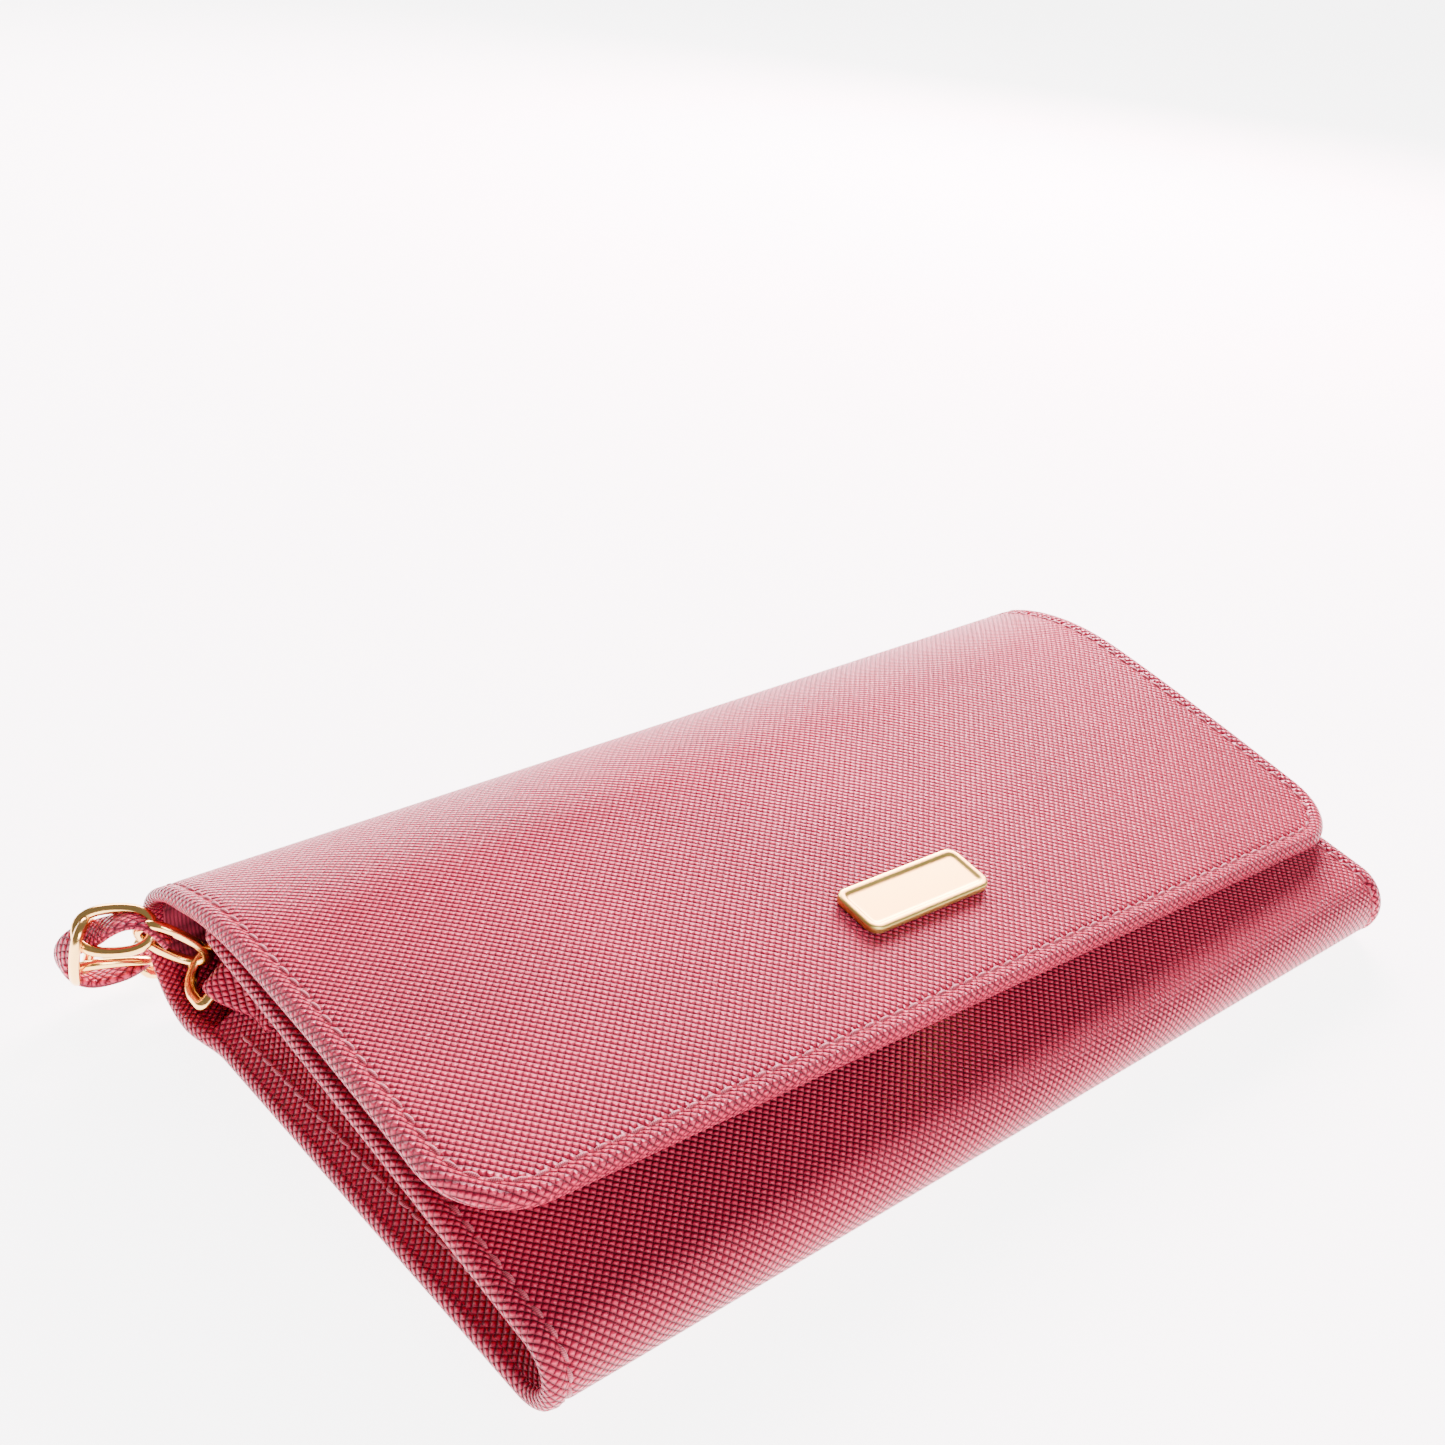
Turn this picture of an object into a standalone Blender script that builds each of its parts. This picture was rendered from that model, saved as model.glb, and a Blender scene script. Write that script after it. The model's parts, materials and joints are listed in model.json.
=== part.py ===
"""Wristlet wallet: a long flap wallet in cross-grain leather with a chain wrist strap.

The wallet lies on its back. X runs along its length, +Y from the bottom fold to the
spine, +Z out of the front. The origin is under the middle of the wallet, on its back.
Lengths are in metres. A distance called "up" is measured from the bottom fold in +Y.
"""
import math

import bmesh
import bpy
from mathutils import Matrix, Vector

MM = 0.001

# Driving dimensions of the whole wallet
LENGTH = 190 * MM
HEIGHT = 106 * MM
FLAP_OVERHANG = 1.7 * MM
BOTTOM_INSET = 2.5 * MM
GAP = 0.3 * MM

# Outer leather: back, bottom fold, front
LEATHER = 1.8 * MM
FRONT_LEATHER = 1.6 * MM
FOLD_RADIUS = 6.5 * MM
FRONT_SLOPE = math.radians(7.2)
FRONT_TOP = 88 * MM
BACK_TOP = 92.5 * MM
FOLD_SLOT = math.radians(25)

# Spine: a quarter of an ellipse up from the back, then a flatter arc that leans to the flap
SPINE_START = 93 * MM
SPINE_DEPTH = HEIGHT - SPINE_START
SPINE_HALF = 14.2 * MM
CREST_START = 79 * MM
CREST_DEPTH = HEIGHT - CREST_START
CREST_RISE = 13.8 * MM
CREST_TURN = math.radians(59)
SPINE_SPREAD = math.radians(40)
FOLD_SPREAD = math.radians(42.5)
HINGE_UP = 100 * MM
HINGE_INSET = 6 * MM
FLAP_HINGE_Z = 22.4 * MM

# Flap: its top face rises from the spine over a shoulder, then falls to the front edge,
# more on the right
FLAP_TOP = 92.5 * MM
FLAP_EDGE = 12.5 * MM
FLAP_CREST = 29.1 * MM
FLAP_SHOULDER = 71.8 * MM
SHOULDER_DROP = 2.9 * MM
FLAP_DROP_LEFT = 2.2 * MM
FLAP_DROP_RIGHT = 11.9 * MM
FLAP_DOME_LEFT = 1.7 * MM
FLAP_EASE = 0.35
FLAP_CORNER = 13 * MM

# Reinforcement boards and linings
BOARD = 0.5 * MM
CLOTH = 0.4 * MM
LINED_LENGTH = 176 * MM

# Card pockets
CARD_LEATHER = 0.5 * MM
CARD_INNER = 1.5 * MM
CARD_OUTER = 83 * MM
CARD_TOPS = (80 * MM, 69 * MM, 58 * MM)
CARD_FOOT = 12 * MM

# Zip pocket on the inside of the front
POCKET_HALF = 82 * MM
POCKET_FOOT = 20 * MM
POCKET_HEAD = 79.5 * MM
POCKET_FOOT_Z = 10.9 * MM
POCKET_HEAD_Z = 12.2 * MM
ZIP_UP = 82.3 * MM
ZIP_Z = 15.9 * MM
TOOTH_PITCH = 3.0 * MM
TOOTH_COUNT = 50
SLIDER_X = 66 * MM

# Gussets, D-rings and their tabs
GUSSET_LEATHER = 1.0 * MM
GUSSET_EDGE = 94.3 * MM
GUSSET_FOLD = 10 * MM
GUSSET_FOOT = 7 * MM
GUSSET_HEAD = 88 * MM
RING_WIRE = 1.0 * MM
RING_HALF = 5 * MM
RING_UP = 91 * MM
TAB_HALF = 3.2 * MM
TAB_FOOT = 79 * MM

# Snap fastener and name plate on the centre line
SNAP_UP = 28 * MM
STUD_UP = 27.2 * MM
SNAP_RADIUS = 7 * MM
POST = 1.3 * MM
PLATE_UP = 34 * MM
PLATE_LENGTH = 27 * MM
PLATE_HEIGHT = 10 * MM
PLATE_THICK = 1.2 * MM
PIN_SPACING = 16 * MM

# Wrist strap: chain with a lace, as the tube that holds it
STRAP_RADIUS = 4.2 * MM
STRAP_STEPS = 76


def clear_scene():
    """Start from a scene with no objects."""
    for item in list(bpy.data.objects):
        bpy.data.objects.remove(item, do_unlink=True)


def new_collection(name):
    """Make a collection under the scene."""
    made = bpy.data.collections.new(name)
    bpy.context.scene.collection.children.link(made)
    return made


clear_scene()
WALLET = new_collection("wristlet_wallet")
CUTTERS = new_collection("cutters")


def material(name, colour, roughness, metallic=0.0):
    """A Principled material in one colour."""
    made = bpy.data.materials.new(name)
    made.use_nodes = True
    shader = made.node_tree.nodes["Principled BSDF"]
    shader.inputs["Base Color"].default_value = (*colour, 1.0)
    shader.inputs["Roughness"].default_value = roughness
    shader.inputs["Metallic"].default_value = metallic
    return made


LEATHER_RED = material("grained_leather", (0.47, 0.035, 0.085), 0.42)
LINING_RED = material("lining_cloth", (0.30, 0.03, 0.07), 0.75)
BOARD_GREY = material("reinforcement_board", (0.55, 0.50, 0.44), 0.9)
TAPE_RED = material("zip_tape", (0.33, 0.03, 0.08), 0.85)
GOLD = material("gold_plate", (0.95, 0.68, 0.28), 0.18, 1.0)


def finish(obj, skin, home=WALLET):
    """Give an object its material and collection."""
    for old in list(obj.users_collection):
        old.objects.unlink(obj)
    home.objects.link(obj)
    obj.data.materials.clear()
    obj.data.materials.append(skin)
    return obj


def level(up, z):
    """Turn a distance from the bottom fold into world Y, beside Z."""
    return up - HEIGHT / 2, z


def sheet(name, columns, rows, place, thickness, skin):
    """A leather or cloth piece: a grid put in place by a formula, thickened inwards.

    place takes two numbers from 0 to 1 and gives x, up, z of the outer face.
    """
    mesh = bpy.data.meshes.new(name)
    bm = bmesh.new()
    bmesh.ops.create_grid(bm, x_segments=columns, y_segments=rows, size=1.0)
    for vert in bm.verts:
        x, up, z = place((vert.co.x + 1) / 2, (vert.co.y + 1) / 2)
        vert.co = (x, *level(up, z))
    bm.to_mesh(mesh)
    bm.free()
    obj = bpy.data.objects.new(name, mesh)
    finish(obj, skin)
    thick = obj.modifiers.new("thickness", "SOLIDIFY")
    thick.thickness = thickness
    thick.offset = -1.0
    thick.use_even_offset = True
    return obj


def plate(name, length, depth, thickness, centre, skin, tilt=0.0, home=WALLET, edge=0.15 * MM):
    """A flat rectangular piece with eased edges, tilted about X."""
    bpy.ops.mesh.primitive_cube_add(size=1.0, location=(0, 0, 0))
    obj = bpy.context.object
    obj.name = name
    obj.data.name = name
    obj.data.transform(Matrix.Diagonal((length, depth, thickness, 1.0)))
    obj.location = centre
    obj.rotation_euler = (tilt, 0.0, 0.0)
    finish(obj, skin, home)
    if edge:
        eased = obj.modifiers.new("eased edge", "BEVEL")
        eased.width = edge
        eased.segments = 1
    return obj


def turned(name, profile, skin, steps=24, closed=False):
    """A round piece: a profile of (radius, z), down its outer side, turned about Z."""
    mesh = bpy.data.meshes.new(name)
    points = [(radius, 0.0, z) for radius, z in profile]
    edges = [(i, i + 1) for i in range(len(points) - 1)]
    if closed:
        edges.append((len(points) - 1, 0))
    mesh.from_pydata(points, edges, [])
    obj = bpy.data.objects.new(name, mesh)
    finish(obj, skin)
    turn = obj.modifiers.new("turn", "SCREW")
    turn.axis = "Z"
    turn.steps = steps
    turn.render_steps = steps
    turn.use_merge_vertices = True
    turn.merge_threshold = 0.00001
    return obj


def flat_outline(name, loops, half_thickness, skin):
    """A flat piece cut to closed outlines in its own XY plane."""
    curve = bpy.data.curves.new(name, "CURVE")
    curve.dimensions = "2D"
    curve.fill_mode = "BOTH"
    curve.extrude = half_thickness
    for loop in loops:
        spline = curve.splines.new("POLY")
        spline.points.add(len(loop) - 1)
        for point, (x, y) in zip(spline.points, loop):
            point.co = (x, y, 0.0, 1.0)
        spline.use_cyclic_u = True
    obj = bpy.data.objects.new(name, curve)
    return finish(obj, skin)


def wire(name, points, radius, resolution, skin, cyclic=False):
    """A round wire or tube through the given points."""
    curve = bpy.data.curves.new(name, "CURVE")
    curve.dimensions = "3D"
    curve.bevel_depth = radius
    curve.bevel_resolution = resolution
    curve.use_fill_caps = not cyclic
    spline = curve.splines.new("POLY")
    spline.points.add(len(points) - 1)
    for point, place in zip(spline.points, points):
        point.co = (*place, 1.0)
    spline.use_cyclic_u = cyclic
    obj = bpy.data.objects.new(name, curve)
    return finish(obj, skin)


def cutter_rod(name, radius, length, matrix):
    """A round cutter along the local Z of a matrix."""
    mesh = bpy.data.meshes.new(name)
    bm = bmesh.new()
    bmesh.ops.create_cone(bm, cap_ends=True, segments=24, radius1=radius, radius2=radius, depth=length)
    bm.to_mesh(mesh)
    bm.free()
    obj = bpy.data.objects.new(name, mesh)
    obj.matrix_world = matrix
    finish(obj, GOLD, CUTTERS)
    hide_cutter(obj)
    return obj


def hide_cutter(obj):
    """Show a cutter as wire only."""
    obj.hide_render = True
    obj.display_type = "WIRE"


def combine(obj, other, operation):
    """Cut or join one object with another."""
    step = obj.modifiers.new(operation.lower(), "BOOLEAN")
    step.operation = operation
    step.solver = "EXACT"
    step.object = other


def half_length_at(up):
    """Half the length of the body, a little less towards the bottom fold."""
    return LENGTH / 2 - BOTTOM_INSET * max(0.0, 1 - up / FRONT_TOP)


def along(profile, t):
    """The point of a profile at share t of its list, with straight runs between."""
    place = t * (len(profile) - 1)
    i = min(int(place), len(profile) - 2)
    (up0, z0), (up1, z1) = profile[i], profile[i + 1]
    share = place - i
    return up0 + (up1 - up0) * share, z0 + (z1 - z0) * share


def arc(up, z, radius, start, end, steps):
    """Points on a circle round (up, z), angles from +Y towards +Z."""
    turns = [start + (end - start) * i / steps for i in range(steps + 1)]
    return [(up + radius * math.cos(t), z + radius * math.sin(t)) for t in turns]


def front_face(distance, depth=0.0):
    """A point on the front's sloping face, depth below it."""
    up = FOLD_RADIUS * (1 - math.sin(FRONT_SLOPE)) + distance * math.cos(FRONT_SLOPE)
    z = FOLD_RADIUS * (1 + math.cos(FRONT_SLOPE)) + distance * math.sin(FRONT_SLOPE)
    return up + depth * math.sin(FRONT_SLOPE), z - depth * math.cos(FRONT_SLOPE)


FRONT_RUN = (FRONT_TOP - front_face(0.0)[0]) / math.cos(FRONT_SLOPE)


def flap_height(x, up):
    """Z of the flap's outer face: a soft shoulder at the spine, then a long slow fall."""
    along_flap = (FLAP_TOP - up) / (FLAP_TOP - FLAP_EDGE)
    fall = math.hypot(along_flap, FLAP_EASE) - FLAP_EASE
    full_fall = math.hypot(1.0, FLAP_EASE) - FLAP_EASE
    to_right = x / LENGTH + 0.5
    drop = FLAP_DROP_LEFT + (FLAP_DROP_RIGHT - FLAP_DROP_LEFT) * to_right
    dome = FLAP_DOME_LEFT * (1 - to_right) * math.sin(math.pi * min(max(along_flap, 0.0), 1.0))
    shoulder = max(0.0, up - FLAP_SHOULDER) / (FLAP_TOP - FLAP_SHOULDER)
    return FLAP_CREST - drop * fall / full_fall + dome - SHOULDER_DROP * shoulder * shoulder


def on_flap(x, up, rise=0.0):
    """A frame standing on the flap's outer face, its Z along the face's normal."""
    step = 1 * MM
    run_x = flap_height(x + step, up) - flap_height(x - step, up)
    run_y = flap_height(x, up + step) - flap_height(x, up - step)
    across = Vector((2 * step, 0.0, run_x)).normalized()
    upward = across.cross(Vector((0.0, 2 * step, run_y))).normalized()
    forward = upward.cross(across)
    turn = Matrix((across, forward, upward)).transposed().to_4x4()
    foot = Vector((x, *level(up, flap_height(x, up))))
    return Matrix.Translation(foot + upward * rise) @ turn


def on_front(up, rise=0.0):
    """A frame standing on the front's outer face on the centre line."""
    distance = (up - front_face(0.0)[0]) / math.cos(FRONT_SLOPE)
    foot = Vector((0.0, *level(*front_face(distance, -rise))))
    return Matrix.Translation(foot) @ Matrix.Rotation(FRONT_SLOPE, 4, "X")


def spine_point(turn, depth=0.0):
    """A point on the spine, depth inside it: -90 degrees at the back, +90 at the flap."""
    if turn <= 0:
        up = SPINE_START + (SPINE_DEPTH - depth) * math.cos(turn)
        return up, SPINE_HALF + (SPINE_HALF - depth) * math.sin(turn)
    lean = CREST_TURN * turn / math.radians(90)
    up = CREST_START + (CREST_DEPTH - depth) * math.cos(lean)
    return up, SPINE_HALF + (CREST_RISE - depth) * math.sin(lean)


# Outer leather

def make_back_panel():
    """Back leather with the lower half of the bottom fold."""
    flat = [(BACK_TOP, 0.0), (60 * MM, 0.0), (30 * MM, 0.0)]
    fold = arc(FOLD_RADIUS, FOLD_RADIUS, FOLD_RADIUS, math.radians(270), math.radians(180), 6)
    profile = flat + fold

    def place(u, v):
        up, z = along(profile, v)
        return (2 * u - 1) * half_length_at(up), up, z

    return sheet("back_panel", 10, len(profile) - 1, place, LEATHER, LEATHER_RED)


def make_front_panel():
    """Front leather with the upper half of the bottom fold."""
    start = math.radians(180) - FOLD_SLOT
    fold = arc(FOLD_RADIUS, FOLD_RADIUS, FOLD_RADIUS, start, math.radians(90) + FRONT_SLOPE, 5)
    slope = [front_face(FRONT_RUN * i / 4) for i in range(1, 5)]
    profile = fold + slope

    def place(u, v):
        up, z = along(profile, v)
        return (2 * u - 1) * half_length_at(up), up, z

    return sheet("front_panel", 10, len(profile) - 1, place, FRONT_LEATHER, LEATHER_RED)


def make_bottom_fold():
    """Narrow strip of the bottom fold where the leather bends as the front opens."""
    slack = 2.5 * GAP / FOLD_RADIUS
    fold = arc(FOLD_RADIUS, FOLD_RADIUS, FOLD_RADIUS, math.radians(180) - slack,
               math.radians(180) - FOLD_SLOT + slack, 3)

    def place(u, v):
        up, z = along(fold, v)
        return (2 * u - 1) * half_length_at(up), up, z

    return sheet("bottom_fold", 10, 3, place, FRONT_LEATHER, LEATHER_RED)


def spine_sheet(name, start, end, depth, half, thickness, skin, rows):
    """A strip of the spine between two turns of its profile, upper one first."""
    def place(u, v):
        up, z = spine_point(end + (start - end) * v, depth)
        return (2 * u - 1) * half, up, z

    return sheet(name, 10, rows, place, thickness, skin)


def make_spine():
    """Spine leather between the flap's two fold lines, the folds, and the lining."""
    half, upright = LENGTH / 2 + FLAP_OVERHANG, math.radians(90)
    spine_sheet("spine_panel", -SPINE_SPREAD, SPINE_SPREAD, 0.0, half, LEATHER, LEATHER_RED, 8)
    spine_sheet("spine_fold_lower", -upright, -FOLD_SPREAD, 0.0, half, LEATHER, LEATHER_RED, 5)
    spine_sheet("spine_fold_upper", FOLD_SPREAD, upright, 0.0, half, LEATHER, LEATHER_RED, 5)
    spine_sheet("spine_lining", -SPINE_SPREAD, SPINE_SPREAD, LEATHER + GAP, LENGTH / 2 - 1 * MM,
                CLOTH, LINING_RED, 8)


def flap_sheet(name, margin, low, high, depth, thickness, corner, skin, columns=14, rows=14):
    """A layer of the flap: low and high are distances up, depth is below the outer face."""
    half = LENGTH / 2 + FLAP_OVERHANG - margin

    def place(u, v):
        up = low + (high - low) * v ** 1.6
        into_corner = max(0.0, corner - (up - low))
        width = half - corner + math.sqrt(max(corner * corner - into_corner * into_corner, 0.0))
        x = (2 * u - 1) * width
        return x, up, flap_height(x, up) - depth

    return sheet(name, columns, rows, place, thickness, skin)


def make_flap():
    """Flap leather, its reinforcement board and its lining."""
    depth_board = LEATHER + 1.2 * GAP
    depth_lining = depth_board + BOARD + 1.2 * GAP
    flap_sheet("flap_panel", 0.0, FLAP_EDGE, FLAP_TOP, 0.0, LEATHER, FLAP_CORNER, LEATHER_RED)
    flap_sheet("flap_board", 6 * MM, FLAP_EDGE + 5 * MM, FLAP_TOP - 3 * MM, depth_board, BOARD,
               FLAP_CORNER - 4 * MM, BOARD_GREY, 8, 12)
    flap_sheet("flap_lining", 2 * MM, FLAP_EDGE + 2 * MM, FLAP_TOP, depth_lining, CLOTH,
               FLAP_CORNER - 2 * MM, LINING_RED, 8, 12)


# Linings, boards and card pockets

def make_back_layers():
    """Reinforcement board and lining on the inside of the back."""
    centre_up = (8 * MM + 92 * MM) / 2
    depth = 92 * MM - 8 * MM
    board_z = LEATHER + GAP + BOARD / 2
    lining_z = board_z + BOARD / 2 + GAP + CLOTH / 2
    plate("back_board", LINED_LENGTH, depth, BOARD, (0, *level(centre_up, board_z)), BOARD_GREY)
    plate("back_lining", LINED_LENGTH, depth, CLOTH, (0, *level(centre_up, lining_z)), LINING_RED,
          edge=0.1 * MM)
    return lining_z + CLOTH / 2


def make_front_layers():
    """Reinforcement board and lining on the inside of the front."""
    low = 8 * MM
    board_length = FRONT_RUN - low - 2 * MM
    middle = low + board_length / 2
    for name, depth, thickness, skin in (
        ("front_board", FRONT_LEATHER + GAP + BOARD / 2, BOARD, BOARD_GREY),
        ("front_lining", FRONT_LEATHER + 2 * GAP + BOARD + CLOTH / 2, CLOTH, LINING_RED),
    ):
        centre = (0, *level(*front_face(middle, depth)))
        plate(name, LINED_LENGTH, board_length, thickness, centre, skin, FRONT_SLOPE, edge=0.1 * MM)


def make_card_slots(first_z):
    """Two columns of three stepped card pockets on the back lining."""
    width = CARD_OUTER - CARD_INNER
    for side, sign in (("left", -1), ("right", 1)):
        for row, top in enumerate(CARD_TOPS):
            z = first_z + GAP + CARD_LEATHER / 2 + row * (CARD_LEATHER + GAP)
            centre_x = sign * (CARD_OUTER + CARD_INNER) / 2
            centre = (centre_x, *level((top + CARD_FOOT) / 2, z))
            name = f"card_slot_{side}_{row + 1}"
            plate(name, width, top - CARD_FOOT, CARD_LEATHER, centre, LEATHER_RED)


# Zip pocket

def make_pocket_wall():
    """Loose wall of the zip pocket, nearly parallel to the back."""
    rise = POCKET_HEAD_Z - POCKET_FOOT_Z
    run = POCKET_HEAD - POCKET_FOOT
    centre = (0, *level((POCKET_HEAD + POCKET_FOOT) / 2, (POCKET_HEAD_Z + POCKET_FOOT_Z) / 2))
    plate("zip_pocket_wall", 2 * POCKET_HALF, math.hypot(run, rise), BOARD, centre, LINING_RED,
          math.atan2(rise, run))


def comb_outline(sign):
    """Outline of one row of zip teeth; sign tells which side of the centre it lies."""
    back, root, tip = 1.9 * MM, 1.15 * MM, 0.45 * MM
    half_tooth = 0.75 * MM
    start = -TOOTH_COUNT * TOOTH_PITCH / 2
    shift = 0.0 if sign > 0 else TOOTH_PITCH / 2
    points = [(start, sign * back), (start, sign * root)]
    for i in range(TOOTH_COUNT - 1):
        middle = start + TOOTH_PITCH * (i + 0.5) + shift
        points += [(middle - half_tooth, sign * root), (middle - half_tooth, sign * tip)]
        points += [(middle + half_tooth, sign * tip), (middle + half_tooth, sign * root)]
    return points + [(-start, sign * root), (-start, sign * back)]


def make_zip():
    """Tapes, two rows of teeth and end stops across the pocket's mouth."""
    tape_near, tape_far = 2.2 * MM, 3.3 * MM
    for name, sign in (("front", 1), ("back", -1)):
        teeth = flat_outline(f"zip_teeth_{name}", [comb_outline(sign)], 0.8 * MM, GOLD)
        teeth.matrix_world = Matrix.Translation((0, *level(ZIP_UP, ZIP_Z))) @ Matrix.Rotation(
            math.radians(90), 4, "X")
        tape_z = ZIP_Z + sign * (tape_near + tape_far) / 2
        plate(f"zip_tape_{name}", 160 * MM, 0.5 * MM, tape_far - tape_near,
              (0, *level(ZIP_UP, tape_z)), TAPE_RED, edge=0.1 * MM)
    for name, sign in (("left", -1), ("right", 1)):
        plate(f"zip_stop_{name}", 1.5 * MM, 2.0 * MM, 3.6 * MM,
              (sign * 76.3 * MM, *level(ZIP_UP, ZIP_Z)), GOLD, edge=0.3 * MM)


def make_slider():
    """Zip slider: two plates round the teeth, joined by a neck, with a bridge on top."""
    def part(name, size, up, x=0.0, home=CUTTERS):
        made = plate(name, *size, (SLIDER_X + x, *level(up, ZIP_Z)), GOLD, home=home, edge=0)
        if home is CUTTERS:
            hide_cutter(made)
        return made

    slider = part("zip_slider", (9 * MM, 0.8 * MM, 5.2 * MM), ZIP_UP + 1.6 * MM, home=WALLET)
    combine(slider, part("slider_base", (9 * MM, 0.8 * MM, 5.2 * MM), ZIP_UP - 1.6 * MM), "UNION")
    combine(slider, part("slider_neck", (2.5 * MM, 3.0 * MM, 0.6 * MM), ZIP_UP, 2.5 * MM), "UNION")
    combine(slider, part("slider_bridge", (5 * MM, 3.0 * MM, 1.0 * MM), ZIP_UP + 2.9 * MM), "UNION")
    combine(slider, part("slider_window", (3 * MM, 1.6 * MM, 2.0 * MM), ZIP_UP + 2.8 * MM), "DIFFERENCE")
    return slider


def make_puller():
    """Puller: a flat tab whose window loops round the slider's bridge."""
    axis = Vector((SLIDER_X, *level(ZIP_UP + 2.8 * MM, ZIP_Z)))
    tip, half = 14 * MM, 2.1 * MM
    corner = arc(tip - half, 0.0, half, math.radians(-90), math.radians(90), 8)
    outer = [(-0.4 * MM, half), (-0.4 * MM, -half), *corner]
    window = [(0.45 * MM, 1.1 * MM), (0.45 * MM, -1.1 * MM), (3.6 * MM, -1.1 * MM), (3.6 * MM, 1.1 * MM)]
    puller = flat_outline("zip_puller", [outer, window], 0.35 * MM, GOLD)
    puller.matrix_world = Matrix.Translation(axis) @ Matrix.Rotation(math.radians(90), 4, "X")
    return puller


# Gussets, tabs and rings

def make_gusset(name, sign):
    """Side gusset: leather folded inwards between the back and the front."""
    back_z = LEATHER + GAP

    def place(u, v):
        up = GUSSET_FOOT + (GUSSET_HEAD - GUSSET_FOOT) * v
        distance = (up - front_face(0.0)[0]) / math.cos(FRONT_SLOPE)
        front_z = front_face(distance, FRONT_LEATHER + GAP)[1]
        across = u if sign > 0 else 1 - u
        inset = (LENGTH / 2 - half_length_at(up)) + GUSSET_FOLD * math.sin(math.pi * across)
        z = back_z + GUSSET_LEATHER / 2 + (front_z - back_z - GUSSET_LEATHER) * across
        return sign * (GUSSET_EDGE - inset), up, z

    return sheet(name, 12, 8, place, GUSSET_LEATHER, LEATHER_RED)


def ring_frame(sign):
    """Frame of a D-ring: X along its bar, Y towards the spine."""
    bar = Vector((-sign * 0.747, 0.0, 0.665))
    centre = Vector((sign * 90.4 * MM, *level(RING_UP, 8.6 * MM)))
    up = Vector((0.0, 1.0, 0.0))
    turn = Matrix((bar, up, bar.cross(up))).transposed().to_4x4()
    return Matrix.Translation(centre) @ turn


def make_ring(name, sign):
    """D-ring of round wire, hinged on its straight bar."""
    bow = arc(0.0, 2.5 * MM, RING_HALF, 0.0, math.pi, 14)
    bar = [(-RING_HALF, 0.8 * MM), (-RING_HALF + 0.8 * MM, 0.0), (0.0, 0.0),
           (RING_HALF - 0.8 * MM, 0.0), (RING_HALF, 0.8 * MM)]
    points = [(x, y, 0.0) for x, y in bow + bar]
    ring = wire(name, points, RING_WIRE, 2, GOLD, cyclic=True)
    ring.matrix_world = ring_frame(sign)
    return ring


def make_tab(name, sign):
    """Leather tab: a strip folded round the D-ring's bar and sewn to the gusset."""
    eye, half = RING_WIRE + GAP, 1.1 * MM
    loop = eye + 0.9 * MM
    foot = TAB_FOOT - RING_UP
    begin = math.asin(half / loop)
    bend = [(loop * math.cos(t), loop * math.sin(t)) for t in
            [begin - math.pi + (2 * math.pi - 2 * begin) * i / 14 for i in range(15)]]
    outline = [(foot, -half)] + bend + [(foot, half)]
    hole = [(eye * math.cos(t), eye * math.sin(t)) for t in [math.tau * i / 12 for i in range(12)]]
    tab = flat_outline(name, [outline, hole], TAB_HALF, LEATHER_RED)
    turn = Matrix(((0, 0, 1, 0), (1, 0, 0, 0), (0, 1, 0, 0), (0, 0, 0, 1)))
    tab.matrix_world = ring_frame(sign) @ turn
    return tab


# Snap fastener and name plate

def washer_profile(radius, hole, thickness):
    """Section of a flat washer standing on z = 0."""
    return [(hole, thickness), (radius, thickness), (radius, 0.0), (hole, 0.0)]


def cut_hole(target, matrix, radius, length, label):
    """Cut a round hole through a sheet."""
    combine(target, cutter_rod(label, radius, length, matrix), "DIFFERENCE")


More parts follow.
